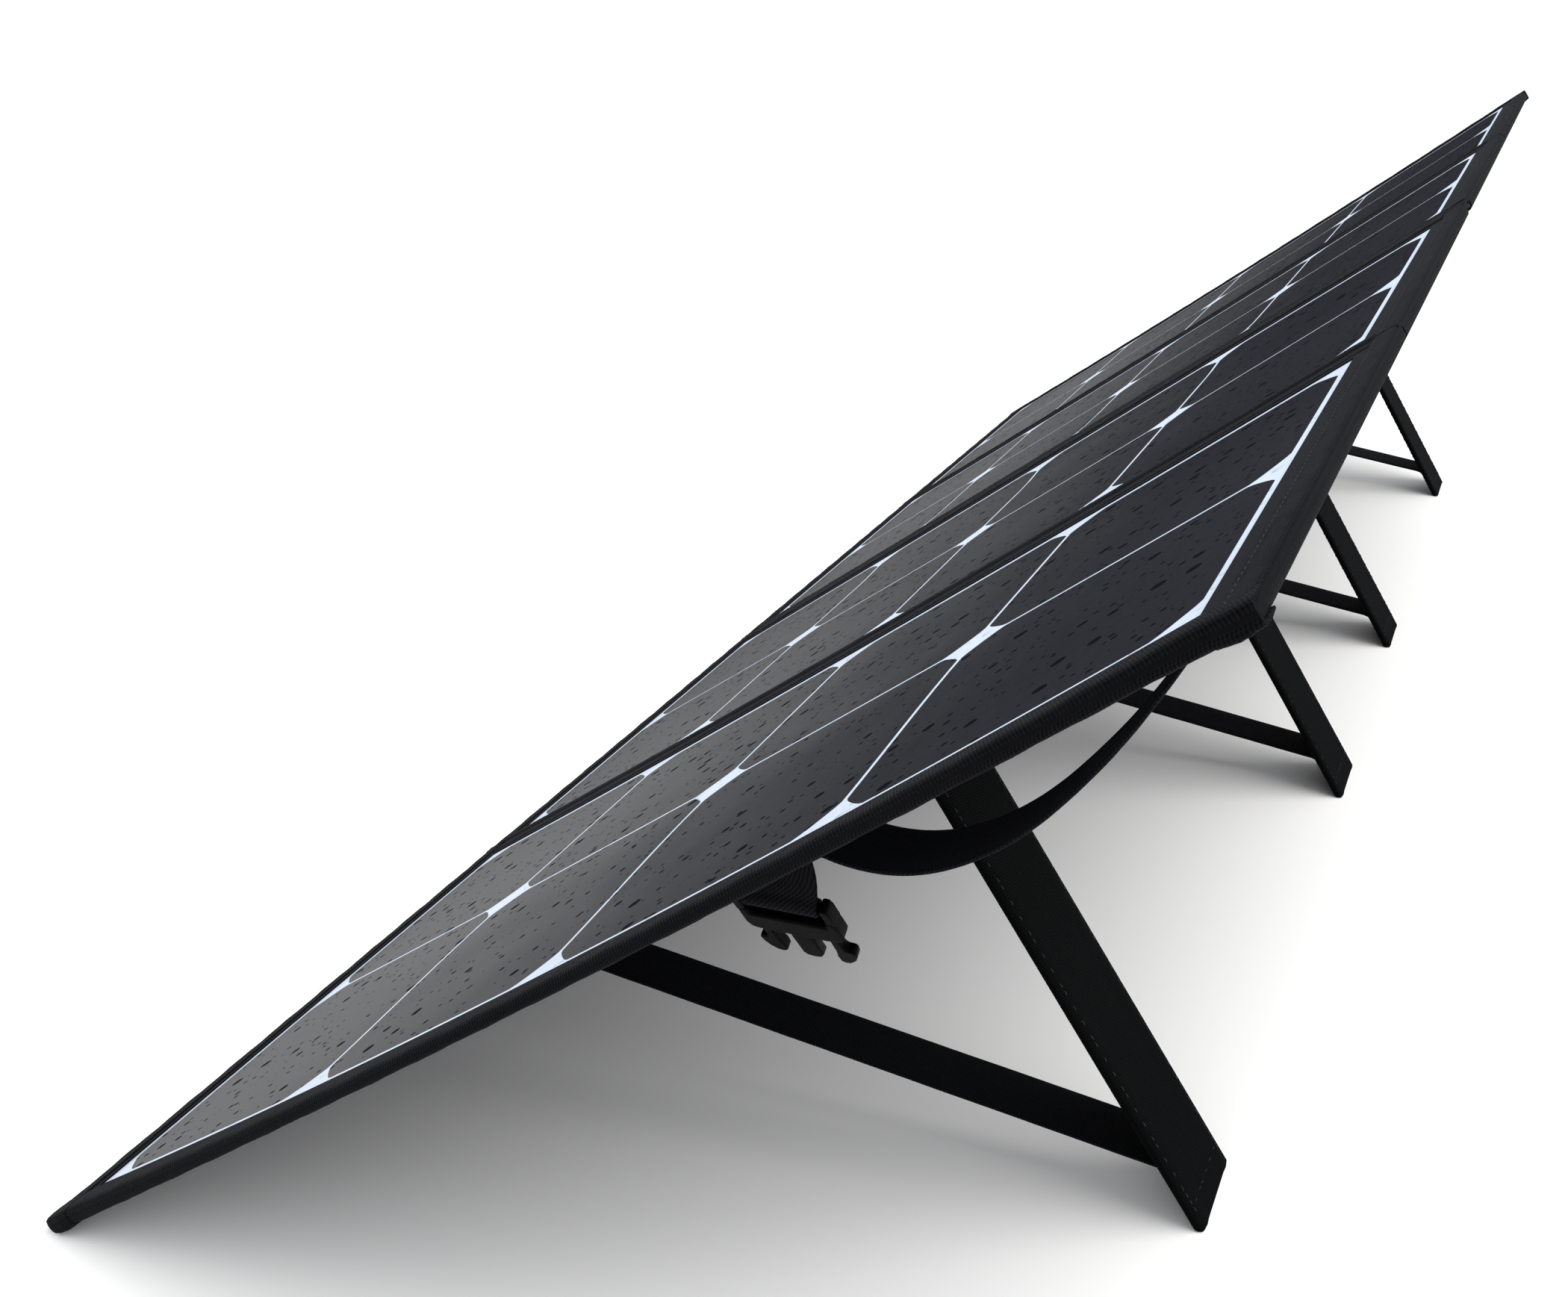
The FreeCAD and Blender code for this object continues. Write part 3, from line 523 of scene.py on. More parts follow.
def film(name, dark, light, rough, white):
    """What lies under the clear front film, with its matte grain and the rain standing on it."""
    material, tree, shader, where = start_material(name, True)
    uneven = place_group(tree, MOTTLE, where, broad=0.008, fine=0.18)
    base = two_tone(tree, uneven.outputs["Value"], dark, light, 0.3, 0.7)
    large = place_group(tree, RAIN, where, spacing=10.5, largest=0.2, missing=0.3)
    small = place_group(tree, RAIN, where, spacing=4.8, largest=0.2, missing=0.5)
    wet = math_node(tree, "MAXIMUM", large.outputs["Mask"], small.outputs["Mask"])
    darker = tree.nodes.new("ShaderNodeMix")
    darker.data_type = "RGBA"
    tree.links.new(math_node(tree, "MULTIPLY", wet, 0.75 if not white else 0.25),
                   darker.inputs["Factor"])
    tree.links.new(base, darker.inputs[6])
    darker.inputs[7].default_value = (0.004, 0.004, 0.006, 1) if not white else (.4, .45, .5, 1)
    tree.links.new(darker.outputs[2], shader.inputs["Base Color"])
    dry = ramp(tree, uneven.outputs["Value"], 0.25, 0.75, rough - 0.04, rough + 0.06)
    tree.links.new(ramp(tree, wet, 0.0, 1.0, dry, 0.06), shader.inputs["Roughness"])
    grain = noise(tree, where, 1.6, 3, 0.6)
    slow = noise(tree, where, 0.02, 2, 0.5)
    drops = math_node(tree, "ADD", math_node(tree, "MULTIPLY", large.outputs["Height"], 13.0),
                      math_node(tree, "MULTIPLY", small.outputs["Height"], 5.0))
    height = math_node(tree, "ADD", math_node(tree, "MULTIPLY", grain, 0.03), drops)
    height = math_node(tree, "ADD", height, math_node(tree, "MULTIPLY", slow, 1.2))
    bump(tree, shader, height, 0.75, 0.55 * MM)
    shader.inputs["IOR"].default_value = 1.42
    shader.inputs["Specular IOR Level"].default_value = 0.0
    place = tree.nodes.new("ShaderNodeSeparateXYZ")
    tree.links.new(where, place.inputs[0])
    damp = math_node(tree, "ADD", place.outputs[1], math_node(tree, "MULTIPLY", slow, 90.0))
    damp = ramp(tree, damp, 130.0, 520.0, 0.25, 0.022)
    rim = math_node(tree, "MULTIPLY", wet, math_node(tree, "SUBTRACT", 1.0, wet))
    lens = math_node(tree, "ADD", math_node(tree, "MULTIPLY", rim, 3.0),
                     math_node(tree, "SUBTRACT", 1.0, math_node(tree, "MULTIPLY", wet, 0.9)))
    damp = math_node(tree, "MULTIPLY", damp, ramp(tree, place.outputs[0], 60.0, 560.0, 0.68, 1.15))
    damp = math_node(tree, "MULTIPLY", damp, lens, clamp=True)
    tree.links.new(damp, shader.inputs["Coat Weight"])
    shader.inputs["Coat Roughness"].default_value = 0.16
    shader.inputs["Coat IOR"].default_value = 1.45
    return material


def moulded(name, dark, light, rough, mapped=False, grain=0.06, shine=0.08):
    """Moulded plastic: fine spark texture, rubbed patches and slightly uneven colour."""
    material, tree, shader, where = start_material(name, mapped)
    uneven = place_group(tree, MOTTLE, where, broad=0.05, fine=1.1)
    tree.links.new(two_tone(tree, uneven.outputs["Value"], dark, light, 0.3, 0.7),
                   shader.inputs["Base Color"])
    tree.links.new(ramp(tree, uneven.outputs["Value"], 0.3, 0.7, rough - 0.07, rough + 0.08),
                   shader.inputs["Roughness"])
    fine = noise(tree, where, 3.5, 4, 0.65)
    bump(tree, shader, fine, 0.6, grain * MM)
    shader.inputs["Specular IOR Level"].default_value = shine
    return material


BINDING = cloth("binding_tape", (0.0003, 0.0003, 0.0005), (0.0048, 0.0049, 0.0058), 1.25, 0.55,
                0.9, 0.32)
FABRIC = cloth("panel_cloth", (0.0016, 0.0017, 0.0026), (0.0062, 0.0064, 0.0090), 0.8, 1.0, 0.8,
               0.10)
LEG_CLOTH = cloth("leg_twill", (0.0005, 0.0006, 0.0006), (0.0026, 0.0028, 0.0029), 1.1, 0.28, 1.6,
                  0.14, sheen=0.008, shine=0.025)
WEBBING = cloth("webbing", (0.0014, 0.0014, 0.0018), (0.0072, 0.0074, 0.0086), 1.5, 0.9, 1.2, 0.22)
THREAD = cloth("thread", (0.014, 0.014, 0.015), (0.05, 0.05, 0.054), 0.35, 1.0, 0.5, 0.05)
CELL_FILM = film("cell_under_film", (0.0125, 0.0130, 0.0165), (0.0190, 0.0200, 0.0245), 0.30,
                 False)
WHITE_FILM = film("white_under_film", (0.50, 0.56, 0.64), (0.60, 0.66, 0.74), 0.30, True)
BUCKLE = moulded("buckle_acetal", (0.0005, 0.0005, 0.0006), (0.0013, 0.0013, 0.0015), 0.40,
                 shine=0.015)
BOX = moulded("box_plastic", (0.010, 0.010, 0.011), (0.02, 0.02, 0.022), 0.5, grain=0.12)
STIFFENER = moulded("stiffener", (0.05, 0.05, 0.052), (0.09, 0.09, 0.093), 0.55)
CIRCUIT = moulded("circuit_board", (0.01, 0.07, 0.03), (0.02, 0.12, 0.05), 0.4)
BOARD = moulded("panel_board", (0.03, 0.03, 0.031), (0.06, 0.06, 0.062), 0.6)
LEAD_JACKET = moulded("lead_jacket_ribbon", (0.015, 0.015, 0.016), (0.03, 0.03, 0.031), 0.5,
                      mapped=True)
BOX_RIB = moulded("box_plastic_mapped", (0.010, 0.010, 0.011), (0.02, 0.02, 0.022), 0.5,
                  mapped=True, grain=0.12)
SCREW_STEEL = moulded("screw_head", (0.35, 0.35, 0.36), (0.5, 0.5, 0.51), 0.32, mapped=True)
SCREW_STEEL.node_tree.nodes["Principled BSDF"].inputs["Metallic"].default_value = 1.0


# ---- panels ------------------------------------------------------------------------------

def wafer_outline():
    """Outline of one pseudo-square cell with clipped corners, counted from its middle."""
    half = CELL / 2
    cut = math.sqrt(WAFER_RADIUS ** 2 - half ** 2)
    first = math.atan2(cut, half)
    points = []
    for quarter in range(4):
        turn = Matrix.Rotation(quarter * math.pi / 2, 2)
        side = [Vector((half, y)) for y in steps(-cut, cut, 12)]
        arc_angles = steps(first, math.pi / 2 - first, 0.03)
        arc = [Vector((math.cos(a), math.sin(a))) * WAFER_RADIUS for a in arc_angles]
        points += [turn @ p for p in side + arc[1:-1]]
    return points


def ease_corners(points, limit):
    """Rounds an outline's corners slightly by pulling each point to its neighbours' middle."""
    out = []
    for i, p in enumerate(points):
        before, after = points[i - 1], points[(i + 1) % len(points)]
        pull = (before + after) / 2 - p
        if pull.length > limit:
            pull = pull.normalized() * limit
        out.append(p + pull)
    return out


def add_wafers(number):
    """Eight cells: thin wafers just proud of the white sheet, following the panel's belly."""
    outline = ease_corners(wafer_outline(), 0.7)
    rims = (1.0, 0.985, 0.8, 0.6, 0.4, 0.2)
    verts, faces, uvs = [], [], []
    left = window[number][0] + WHITE_MARGIN
    for column in range(2):
        for line in range(4):
            cx = left + CELL / 2 + column * CELL_PITCH
            cy = WINDOW_LOW + WHITE_MARGIN + CELL / 2 + line * CELL_PITCH
            base = len(verts)
            n = len(outline)
            for depth, lift in ((-0.40, 1.0),) + tuple((-0.25, rim) for rim in rims):
                for p in outline:
                    x, y = cx + p.x * lift, cy + p.y * lift
                    verts.append(at(x, y, depth - face_sag(number, x, y)))
                    uvs.append((x, y))
            verts.append(at(cx, cy, -0.25 - face_sag(number, cx, cy)))
            uvs.append((cx, cy))
            for ring in range(len(rims)):
                for j in range(n):
                    k = (j + 1) % n
                    a, b = base + ring * n, base + (ring + 1) * n
                    faces.append((a + j, a + k, b + k, b + j))
            inner = base + len(rims) * n
            faces += [(inner + j, inner + (j + 1) % n, base + (len(rims) + 1) * n)
                      for j in range(n)]
            faces.append(tuple(base + j for j in range(n))[::-1])
    name = "panel_%d_cells" % number
    piece = new_piece("look_" + name, verts, faces, uvs, CELL_FILM, body="panel_%d" % number,
                      slot="cell", replaces=(name,))
    crisp(piece)


def add_panel_layers(number):
    """Laminate, board, front fabric with its window, and back fabric of one panel."""
    body = "panel_%d" % number
    left, right = window[number]
    low, high = outer[number]
    low += EDGE_IN if number == 4 else 0.0
    high -= EDGE_IN if number == 1 else 0.0
    across = sorted(set(steps(low, left, 6) + steps(left, right, 20) + steps(right, high, 6)))
    up = sorted(set(steps(EDGE_IN, WINDOW_LOW, 6) + steps(WINDOW_LOW, WINDOW_HIGH, 20)
                    + steps(WINDOW_HIGH, PANEL_HIGH - EDGE_IN, 6)))

    def sag(x, y):
        return face_sag(number, x, y)

    def rumple(x, y):
        return 0.28 * (math.sin(x * 0.061 + number) * math.sin(y * 0.043 + 2 * number)
                       + 0.5 * math.sin(x * 0.13 + y * 0.09))

    def outside_window(x, y):
        return not (left < x < right and WINDOW_LOW < y < WINDOW_HIGH)

    sheet_x = steps(left - 5, right + 5, 14)
    sheet_y = steps(WINDOW_LOW - 5, WINDOW_HIGH + 5, 14)
    grid_slab("look_%s_laminate" % body, sheet_x, sheet_y, lambda x, y: True,
              lambda x, y: -0.3 - sag(x, y), lambda x, y: -1.25 - sag(x, y), WHITE_FILM,
              body=body, slot="backsheet", replaces=(body + "_laminate",))
    grid_slab("look_%s_board" % body, across, up, lambda x, y: True,
              lambda x, y: -1.3 - sag(x, y), lambda x, y: BOARD_BACK - back_sag(number, x, y),
              BOARD, body=body, slot="board", replaces=(body + "_board",))
    grid_slab("look_%s_front_fabric" % body, across, up, outside_window,
              lambda x, y: FACE - sag(x, y), lambda x, y: -0.28 - sag(x, y), FABRIC,
              body=body, slot="fabric", replaces=(body + "_front_fabric",))
    back = grid_slab("look_%s_back_fabric" % body, steps(low, high, 8), steps(EDGE_IN, 547.2, 8),
                     lambda x, y: True,
                     lambda x, y: BOARD_BACK - 0.02 - back_sag(number, x, y),
                     lambda x, y: FABRIC_BACK - back_sag(number, x, y) + rumple(x, y) * 0.9,
                     FABRIC, body=body, slot="fabric", replaces=(body + "_back_fabric",))


BIND_SECTION = ((10.9, 0.38), (10.5, 0.92), (8.6, 0.98), (6.0, 1.20), (3.0, 1.28), (1.0, 1.12),
                (-0.3, 0.5), (-0.8, -0.9), (-0.9, -2.4), (-0.8, -3.8), (-0.3, -5.0),
                (1.0, -5.7), (3.0, -5.9), (6.0, -5.85), (8.6, -5.6), (10.5, -5.5),
                (10.9, -4.98), (6.0, -4.96), (1.6, -4.9), (0.4, -3.9), (0.35, -0.7),
                (1.6, 0.36), (6.0, 0.36))


def binding_point(number, x, y, z):
    """A point of the binding, which keeps its height but follows both faces' bellies."""
    t = min(max((FACE - z) / (FACE - FABRIC_BACK), 0.0), 1.0)
    sag = face_sag(number, x, y) * (1 - t) + back_sag(number, x, y) * t
    return at(x, y, z - sag)


def binding_route(number):
    """Stations along a panel's bound edges: (x, y, inward x, inward y)."""
    low, high = outer[number]
    bottom = [(x, EDGE_IN, 0, 1) for x in steps(low + 0.2, high - 0.2, 4)]
    top = [(x, PANEL_HIGH - EDGE_IN, 0, -1) for x in steps(high - 0.2, low + 0.2, 4)]
    if number == 1:
        edge = high - EDGE_IN
        side = [(edge, y, -1, 0) for y in steps(4, PANEL_HIGH - 4, 4)]
        return [[p for p in bottom if p[0] < edge - 4] + [(edge, EDGE_IN, -1, 1)] + side
                + [(edge, PANEL_HIGH - EDGE_IN, -1, -1)] + [p for p in top if p[0] < edge - 4]]
    if number == 4:
        edge = low + EDGE_IN
        side = [(edge, y, 1, 0) for y in steps(PANEL_HIGH - 4, 4, 4)]
        return [[p for p in top if p[0] > edge + 4] + [(edge, PANEL_HIGH - EDGE_IN, 1, -1)] + side
                + [(edge, EDGE_IN, 1, 1)] + [p for p in bottom if p[0] > edge + 4]]
    return [bottom, top]


def add_binding(number):
    """Folded tape over the edge, a little uneven, with two rows of stitches."""
    body = "panel_%d" % number
    chance = random.Random(number)
    front_runs, back_runs = [], []
    verts, faces, uvs = [], [], []
    for route in binding_route(number):
        run = 0.0
        start = len(verts)
        front_run, back_run = [], []
        drift = 0.0
        n = len(BIND_SECTION)
        for i, (x, y, ix, iy) in enumerate(route):
            if i:
                run += math.hypot(x - route[i - 1][0], y - route[i - 1][1])
            drift += chance.uniform(-0.12, 0.12) - drift * 0.1
            puff = 0.10 * math.sin(run * 0.21) + 0.06 * math.sin(run * 0.53 + 1)
            for inward, z in BIND_SECTION:
                reach = inward + (drift if inward > 5 else 0.0)
                reach = min(reach, 10.95)
                swell = puff if inward < 9 and (z > 0.9 or z < -5.55) else 0.0
                height = z + (swell if z > 0 else -swell)
                px, py = x + ix * reach, y + iy * reach
                verts.append(binding_point(number, px, py, height))
                uvs.append((run, inward if z > -2.4 else 14.0 - inward - z))
            for out_run, z, direction in ((front_run, 1.02, OUT), (back_run, -5.62, -OUT)):
                px, py = x + ix * 8.4, y + iy * 8.4
                out_run.append((binding_point(number, px, py, z), direction))
        stations = len(route)
        for s in range(stations - 1):
            for j in range(n):
                k = (j + 1) % n
                a, b = start + s * n, start + (s + 1) * n
                faces.append((a + j, a + k, b + k, b + j))
        faces.append(tuple(range(start, start + n))[::-1])
        faces.append(tuple(range(start + (stations - 1) * n, start + stations * n)))
        front_runs.append(front_run)
        back_runs.append(back_run)
    name = body + "_edge_binding"
    crisp(new_piece("look_" + name, verts, faces, uvs, BINDING, body=body, slot="edge_tape",
                    replaces=(name,)), 50)
    stitches(name + "_stitches", front_runs + back_runs, THREAD, body=body, slot="edge_tape")


def add_corner_wrap(number, side, y_from, y_to):
    """The binding's turned-under end, which laps over the corner as one more thickness."""
    low, high = outer[number]
    edge = high - EDGE_IN if side > 0 else low + EDGE_IN
    chance = random.Random(10 * number + int(y_from))
    rings, uvs = [], []
    stations = steps(y_from, y_to, 1.6)
    last = len(stations) - 1
    for i, y in enumerate(stations):
        ring, uv = [], []
        full = min(1.0, 0.35 + 0.65 * min(i, last - i) / 2.0)
        fray = chance.uniform(-0.25, 0.25)
        for inward, z in BIND_SECTION[:16]:
            grow = (0.75 + fray) * full
            swell = min(grow, 0.18) if z > 0 else -grow
            height = z + swell * (1.0 if abs(z + 2.4) > 1.6 else 0.4)
            reach = inward - (grow * 0.9 if inward < 2 else -0.6)
            ring.append(binding_point(number, edge - side * reach, y, height))
            uv.append((y, inward if z > -2.4 else 14.0 - inward - z))
        for inward, z in BIND_SECTION[16:]:
            ring.append(binding_point(number, edge - side * inward, y, z))
            uv.append((y, 30 + inward))
        rings.append(ring)
        uvs.append(uv)
    label = "low" if y_from < 200 else "high"
    crisp(lofted("panel_%d_corner_wrap_%s" % (number, label), rings, uvs, BINDING,
                 body="panel_%d" % number, slot="edge_tape"), 50)


# ---- folds -------------------------------------------------------------------------------

def add_fold_end(name, middle, y_from, y_to, reach, tall):
    """A puckered bit of binding that closes the edge where two panels meet."""
    rings, uvs = [], []
    for y in steps(y_from, y_to, 1.5):
        pucker = 0.25 * math.sin(y * 1.7 + middle)
        sag = fold_sag(middle, y)
        top = [(-reach, 0.9), (-reach * 0.6, 1.36 + pucker * 0.3), (-0.8, 1.3), (0, 0.95 + pucker),
               (0.8, 1.3), (reach * 0.6, 1.38 - pucker * 0.3), (reach, 0.9)]
        low = [(reach, -1.5), (0, -1.9), (-reach, -1.5)]
        top = [(x, z * tall) for x, z in top]
        rings.append([at(middle + x, y, z - sag) for x, z in top + low])
        uvs.append([(y, x) for x, _ in top + low])
    piece = crisp(lofted(name, rings, uvs, BINDING), 50)
    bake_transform(piece)


def fold_band(name, profile, low, high, replaces, near, rows,
              material=BINDING):
    """A band across a fold: profile (x, top, bottom) drawn out between two heights."""
    ys = steps(low, high, 5)
    rings, ring_uvs = [], []
    for y in ys:
        lift = 0.08 * math.sin(y * 0.17) + 0.05 * math.sin(y * 0.41)
        sag = fold_sag(near, y)
        ring = [(x, top + lift * (top > 0.6) - sag) for x, top, _ in profile]
        ring += [(x, bottom - sag) for x, _, bottom in profile[::-1]]
        rings.append([at(x, y, z) for x, z in ring])
        ring_uvs.append([(y, x) for x, _ in ring])
    band = crisp(lofted(name, rings, ring_uvs, material), 50)
    if replaces:
        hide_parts(*replaces)
    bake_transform(band)
    for i, (x, z) in enumerate(rows):
        row = [(at(x, y, z - fold_sag(near, y)), OUT) for y in ys]
        thread = stitches("%s_stitches_%d" % (name, i), [row], THREAD)
        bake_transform(thread)


def add_valley(name, middle):
    """The folding band: a padded ribbed roll on one panel, a crease, then flat tape."""
    roll = [(9.6, 0.52), (7.4, 0.55), (4.0, 0.62), (1.6, 0.55), (0.5, 0.42), (-0.5, 0.42),
            (-1.4, 0.9), (-3.0, 1.35), (-5.0, 1.5), (-7.2, 1.35), (-8.8, 0.85), (-9.6, 0.45)]
    profile = [(middle + x, top, 0.32) for x, top in roll]
    fold_band("look_" + name, profile, 11.9, PANEL_HIGH - 11.9, (name,),
              middle + 2.5, ((middle + 8.2, 0.55), (middle - 8.3, 1.0)))


def add_spine():
    """The spine cloth between panels 2 and 3, and its wide band in two halves."""
    low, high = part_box("spine_fabric")
    left, right = low.x / MM, high.x / MM
    grid_slab("look_spine_fabric", steps(left, right, 3), steps(1, PANEL_HIGH - 1, 10),
              lambda x, y: True, lambda x, y: 0.3, lambda x, y: -0.28, FABRIC, body="spine",
              slot="fabric", replaces=("spine_fabric",))
    for label, y_from, y_to in (("low", 0.4, 11.6), ("high", PANEL_HIGH - 11.6, PANEL_HIGH - 0.4)):
        rings, uvs = [], []
        for y in steps(y_from, y_to, 1.4):
            section = []
            for x in steps(-9.0, 9.0, 1.5):
                pucker = 0.22 * math.sin(x * 1.1 + y * 0.5) + 0.12 * math.sin(y * 2.1)
                section.append((x, 0.95 + pucker - 0.5 * abs(x / 9.0) ** 3))
            section += [(x, -0.7 - 0.15 * math.sin(x * 0.9)) for x in steps(9.0, -9.0, 3.0)]
            rings.append([at(x, y, z) for x, z in section])
            uvs.append([(x, y) for x, _ in section])
        crisp(lofted("spine_end_" + label, rings, uvs, BINDING, body="spine", slot="edge_tape"),
              50)
    half = [(0.0, 0.75), (2.5, 0.8), (5.0, 0.62), (7.0, 0.9), (10.0, 1.3), (13.0, 1.25),
            (15.2, 0.85), (16.0, 0.45)]
    profile = [(x, top, 0.32) for x, top in half[::-1]]
    fold_band("look_hinge_tape_23", profile, 11.9, PANEL_HIGH - 11.9, ("hinge_tape_23",),
              14.0, ((14.3, 1.05), (3.0, 0.72)))
    profile = [(-x, top, 0.32) for x, top in half]
    fold_band("look_hinge_tape_23_far", profile, 11.9, PANEL_HIGH - 11.9, (),
              -4.5, ((-14.3, 1.05), (-3.0, 0.72)))


def add_lead(name, start, stop, replaces):
    """A flat two-core ribbon that carries the current across a fold."""
    low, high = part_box("jumper_lead_12")
    middle = (flat(low).y + flat(high).y) / 2
    sag = fold_sag(start, middle)
    across = [(-2.4, 0), (-2.0, 0.16), (-1.2, 0.2), (-0.5, 0.16), (0, 0.08), (0.5, 0.16),
              (1.2, 0.2), (2.0, 0.16), (2.4, 0), (2.0, -0.16), (1.2, -0.2), (0, -0.12),
              (-1.2, -0.2), (-2.0, -0.16)]
    rings = [[at(x, middle + y, -0.6 - sag + z) for y, z in across]
             for x in steps(start, stop, 1.0)]
    uvs = [[(x, y) for y, _ in across] for x in steps(start, stop, 1.0)]
    ribbon = crisp(lofted(name, rings, uvs, LEAD_JACKET), 50)
    if replaces:
        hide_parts(*replaces)
    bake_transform(ribbon)


# ---- legs --------------------------------------------------------------------------------

def leg_frame(number):
    """The hinge point of a leg, its direction down the leg, and the way its front faces."""
    pivot = Vector(joints["leg_%d_hinge" % number]["pos_m"])
    mount = [m for m in frame["record"]["mounts"] if m["name"] == "foot_%d" % number][0]
    foot = Vector(mount["pos_m"])
    down = (foot - pivot).normalized()
    forward = ALONG.cross(down).normalized()
    if forward.y > 0:
        forward = -forward
    return pivot, down, forward, (foot - pivot).length / MM


def add_leg(number):
    """A flat sewn sleeve: rounded long edges, a hem down each side, foot cut level."""
    pivot, down, forward, length = leg_frame(number)
    section = []
    for side in (1, -1):
        for turn in (-90, -60, -30, 0, 30, 60, 90):
            a = math.radians(turn)
            section.append((side * (LEG_WIDE / 2 - LEG_ROUND + LEG_ROUND * math.cos(a)),
                            side * LEG_ROUND * math.sin(a)))
        for i in range(1, 12):
            across = side * (LEG_WIDE / 2 - LEG_ROUND) * (1 - i / 6)
            hem = 0.30 * (abs(abs(across) - 16.5) < 2.2) + 0.28 * (abs(across) < 14)
            section.append((across, side * (LEG_ROUND + 0.3 - 0.22 * (abs(across) < 15.0)
                                            + hem * 0.1)))
    level = (forward.z / -down.z) if abs(down.z) > 1e-6 else 0.0
    rings, ring_uvs, rows = [], [], {}
    stations = steps(2.5, length - 1.5, 6) + [length]
    for i, s in enumerate(stations):
        ring, uv = [], []
        wave = 0.12 * math.sin(s * 0.045 + number)
        for a, off in section:
            reach = length + off * level if i == len(stations) - 1 else s
            flat_off = off + (wave if abs(a) < 15 and 6 < s < length - 8 else 0.0)
            ring.append(pivot + down * (reach * MM) + ALONG * (a * MM)
                        + forward * (flat_off * MM))
            uv.append((reach, a))
        rings.append(ring)
        ring_uvs.append(uv)
    name = "leg_%d_sleeve" % number
    body = "leg_%d" % number
    crisp(lofted("look_" + name, rings, ring_uvs, LEG_CLOTH, body=body, slot="fabric",
                 replaces=(name,)), 40)
    runs = []
    for a in (-19.0, 19.0):
        for side in (1, -1):
            row = [(pivot + down * (s * MM) + ALONG * (a * MM) + forward * (side * LEG_FACE * MM),
                    forward * side) for s in steps(5, length - 4, 6)]
            runs.append(row)
    for side in (1, -1):
        row = [(pivot + down * ((length - 9) * MM) + ALONG * (a * MM)
                + forward * (side * LEG_FACE * MM), forward * side) for a in steps(-18, 18, 6)]
        runs.append(row)
    stitches(name + "_stitches", runs, THREAD, long=2.2, gap=3.4, thick=0.34, body=body,
             slot="fabric")


def box_stitch(x0, x1, y0, y1, z, sag, crossed=True):
    """Runs of thread round a rectangle on a panel's back, with a cross through it."""
    corners = [(x0, y0), (x1, y0), (x1, y1), (x0, y1), (x0, y0)]
    pairs = list(zip(corners, corners[1:]))
    if crossed:
        pairs += [((x0, y0), (x1, y1)), ((x0, y1), (x1, y0))]
    return [[(at(a[0] + (b[0] - a[0]) * t, a[1] + (b[1] - a[1]) * t, z - sag), -OUT)
             for t in (0, 1)] for a, b in pairs]


def add_flap(number):
    """The leg's fabric hinge: a sewn tab that turns back round the leg's hinge line."""
    pivot = flat(joints["leg_%d_hinge" % number]["pos_m"])
    name = "leg_%d_hinge_flap" % number
    x, y, z = pivot
    route = [(y + 32.5, -5.25), (y + 24, -5.3), (y + 12, -5.35), (y + 3, -5.35),
             (y + 0.6, -5.6), (y - 0.25, -6.3), (y - 0.35, -7.2), (y - 0.75, z + 0.3),
             (y - 0.55, z - 0.65), (y + 0.2, z - 0.9), (y + 0.8, z - 0.35),
             (y + 0.65, z + 0.45), (y + 0.45, -6.9)]
    points = [at(x, a, b) for a, b in route]
    strap("look_" + name, smooth_path(points, 1.2 * MM, 1), ALONG, 43.6, 0.62, FABRIC,
          body="panel_%d" % number, slot="fabric", replaces=(name,))
    stitches(name + "_stitches", box_stitch(x - 19, x + 19, y + 4, y + 29.5, -5.72, 0.0),
             THREAD, long=2.2, gap=3.4, thick=0.36, body="panel_%d" % number, slot="fabric")


def add_limit_strap(number):
    """Webbing from low on the panel's back to the leg's foot, taut while the leg is open."""
    pivot, down, forward, length = leg_frame(number)
    x = flat(pivot).x
    off = 2.2 + 0.1 + 0.7
    leg_end = [pivot + down * (s * MM) + forward * (off * MM) for s in (228.5, 221, 214)]
    low = [at(x, y, FABRIC_BACK - 0.72) for y in (113.5, 106, 93)]
    name = "leg_%d_limit_strap" % number
    path = smooth_path(leg_end + low, 4.0 * MM, 1)
    piece = strap("look_" + name, path, ALONG, STRAP_WIDE, STRAP_THICK, WEBBING, ripple=0.05,
                  body="panel_%d" % number, slot="webbing", replaces=(name,))
    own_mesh(piece)
    stitches(name + "_stitches", box_stitch(x - 10, x + 10, 94.5, 111, -6.35, 0.0, True),
             THREAD, long=2.0, gap=3.0, thick=0.34, body="panel_%d" % number, slot="webbing")


# ---- carry handle ------------------------------------------------------------------------

def handle_path():
    """Middle line of the handle, its ends sewn down and its middle hanging free."""
    low_y, high_y, sag_by = 392.0, 526.0, 30.0
    x = outer[1][1] - 28.0
    face = FABRIC_BACK - 0.75
    points = [at(x, y, face - back_sag(1, x, y)) for y in (372.5, 382.0)]
    for i in range(15):
        t = i / 14
        drop = 4 * sag_by * t * (1 - t)
        y = low_y + (high_y - low_y) * t
        points.append(at(x, y, face - back_sag(1, x, y)) - Vector((0, 0, drop * MM)))
    points += [at(x, y, face - back_sag(1, x, y)) for y in (531.0, 535.5)]
    return points, x


def add_handle():
    """The carry handle with its sewn lower end."""
    points, x = handle_path()
    strap("look_carry_handle", smooth_path(points, 3.0 * MM, 2), ALONG, STRAP_WIDE, STRAP_THICK,
          WEBBING, ripple=0.1, body="panel_1", slot="webbing", replaces=("carry_handle",))
    sag = back_sag(1, x, 382)
    stitches("carry_handle_stitches",
             box_stitch(x - 10, x + 10, 374.5, 389.5, FABRIC_BACK - 1.5, sag), THREAD, long=2.0,
             gap=3.0, thick=0.34, body="panel_1", slot="webbing")


# ---- closure -----------------------------------------------------------------------------

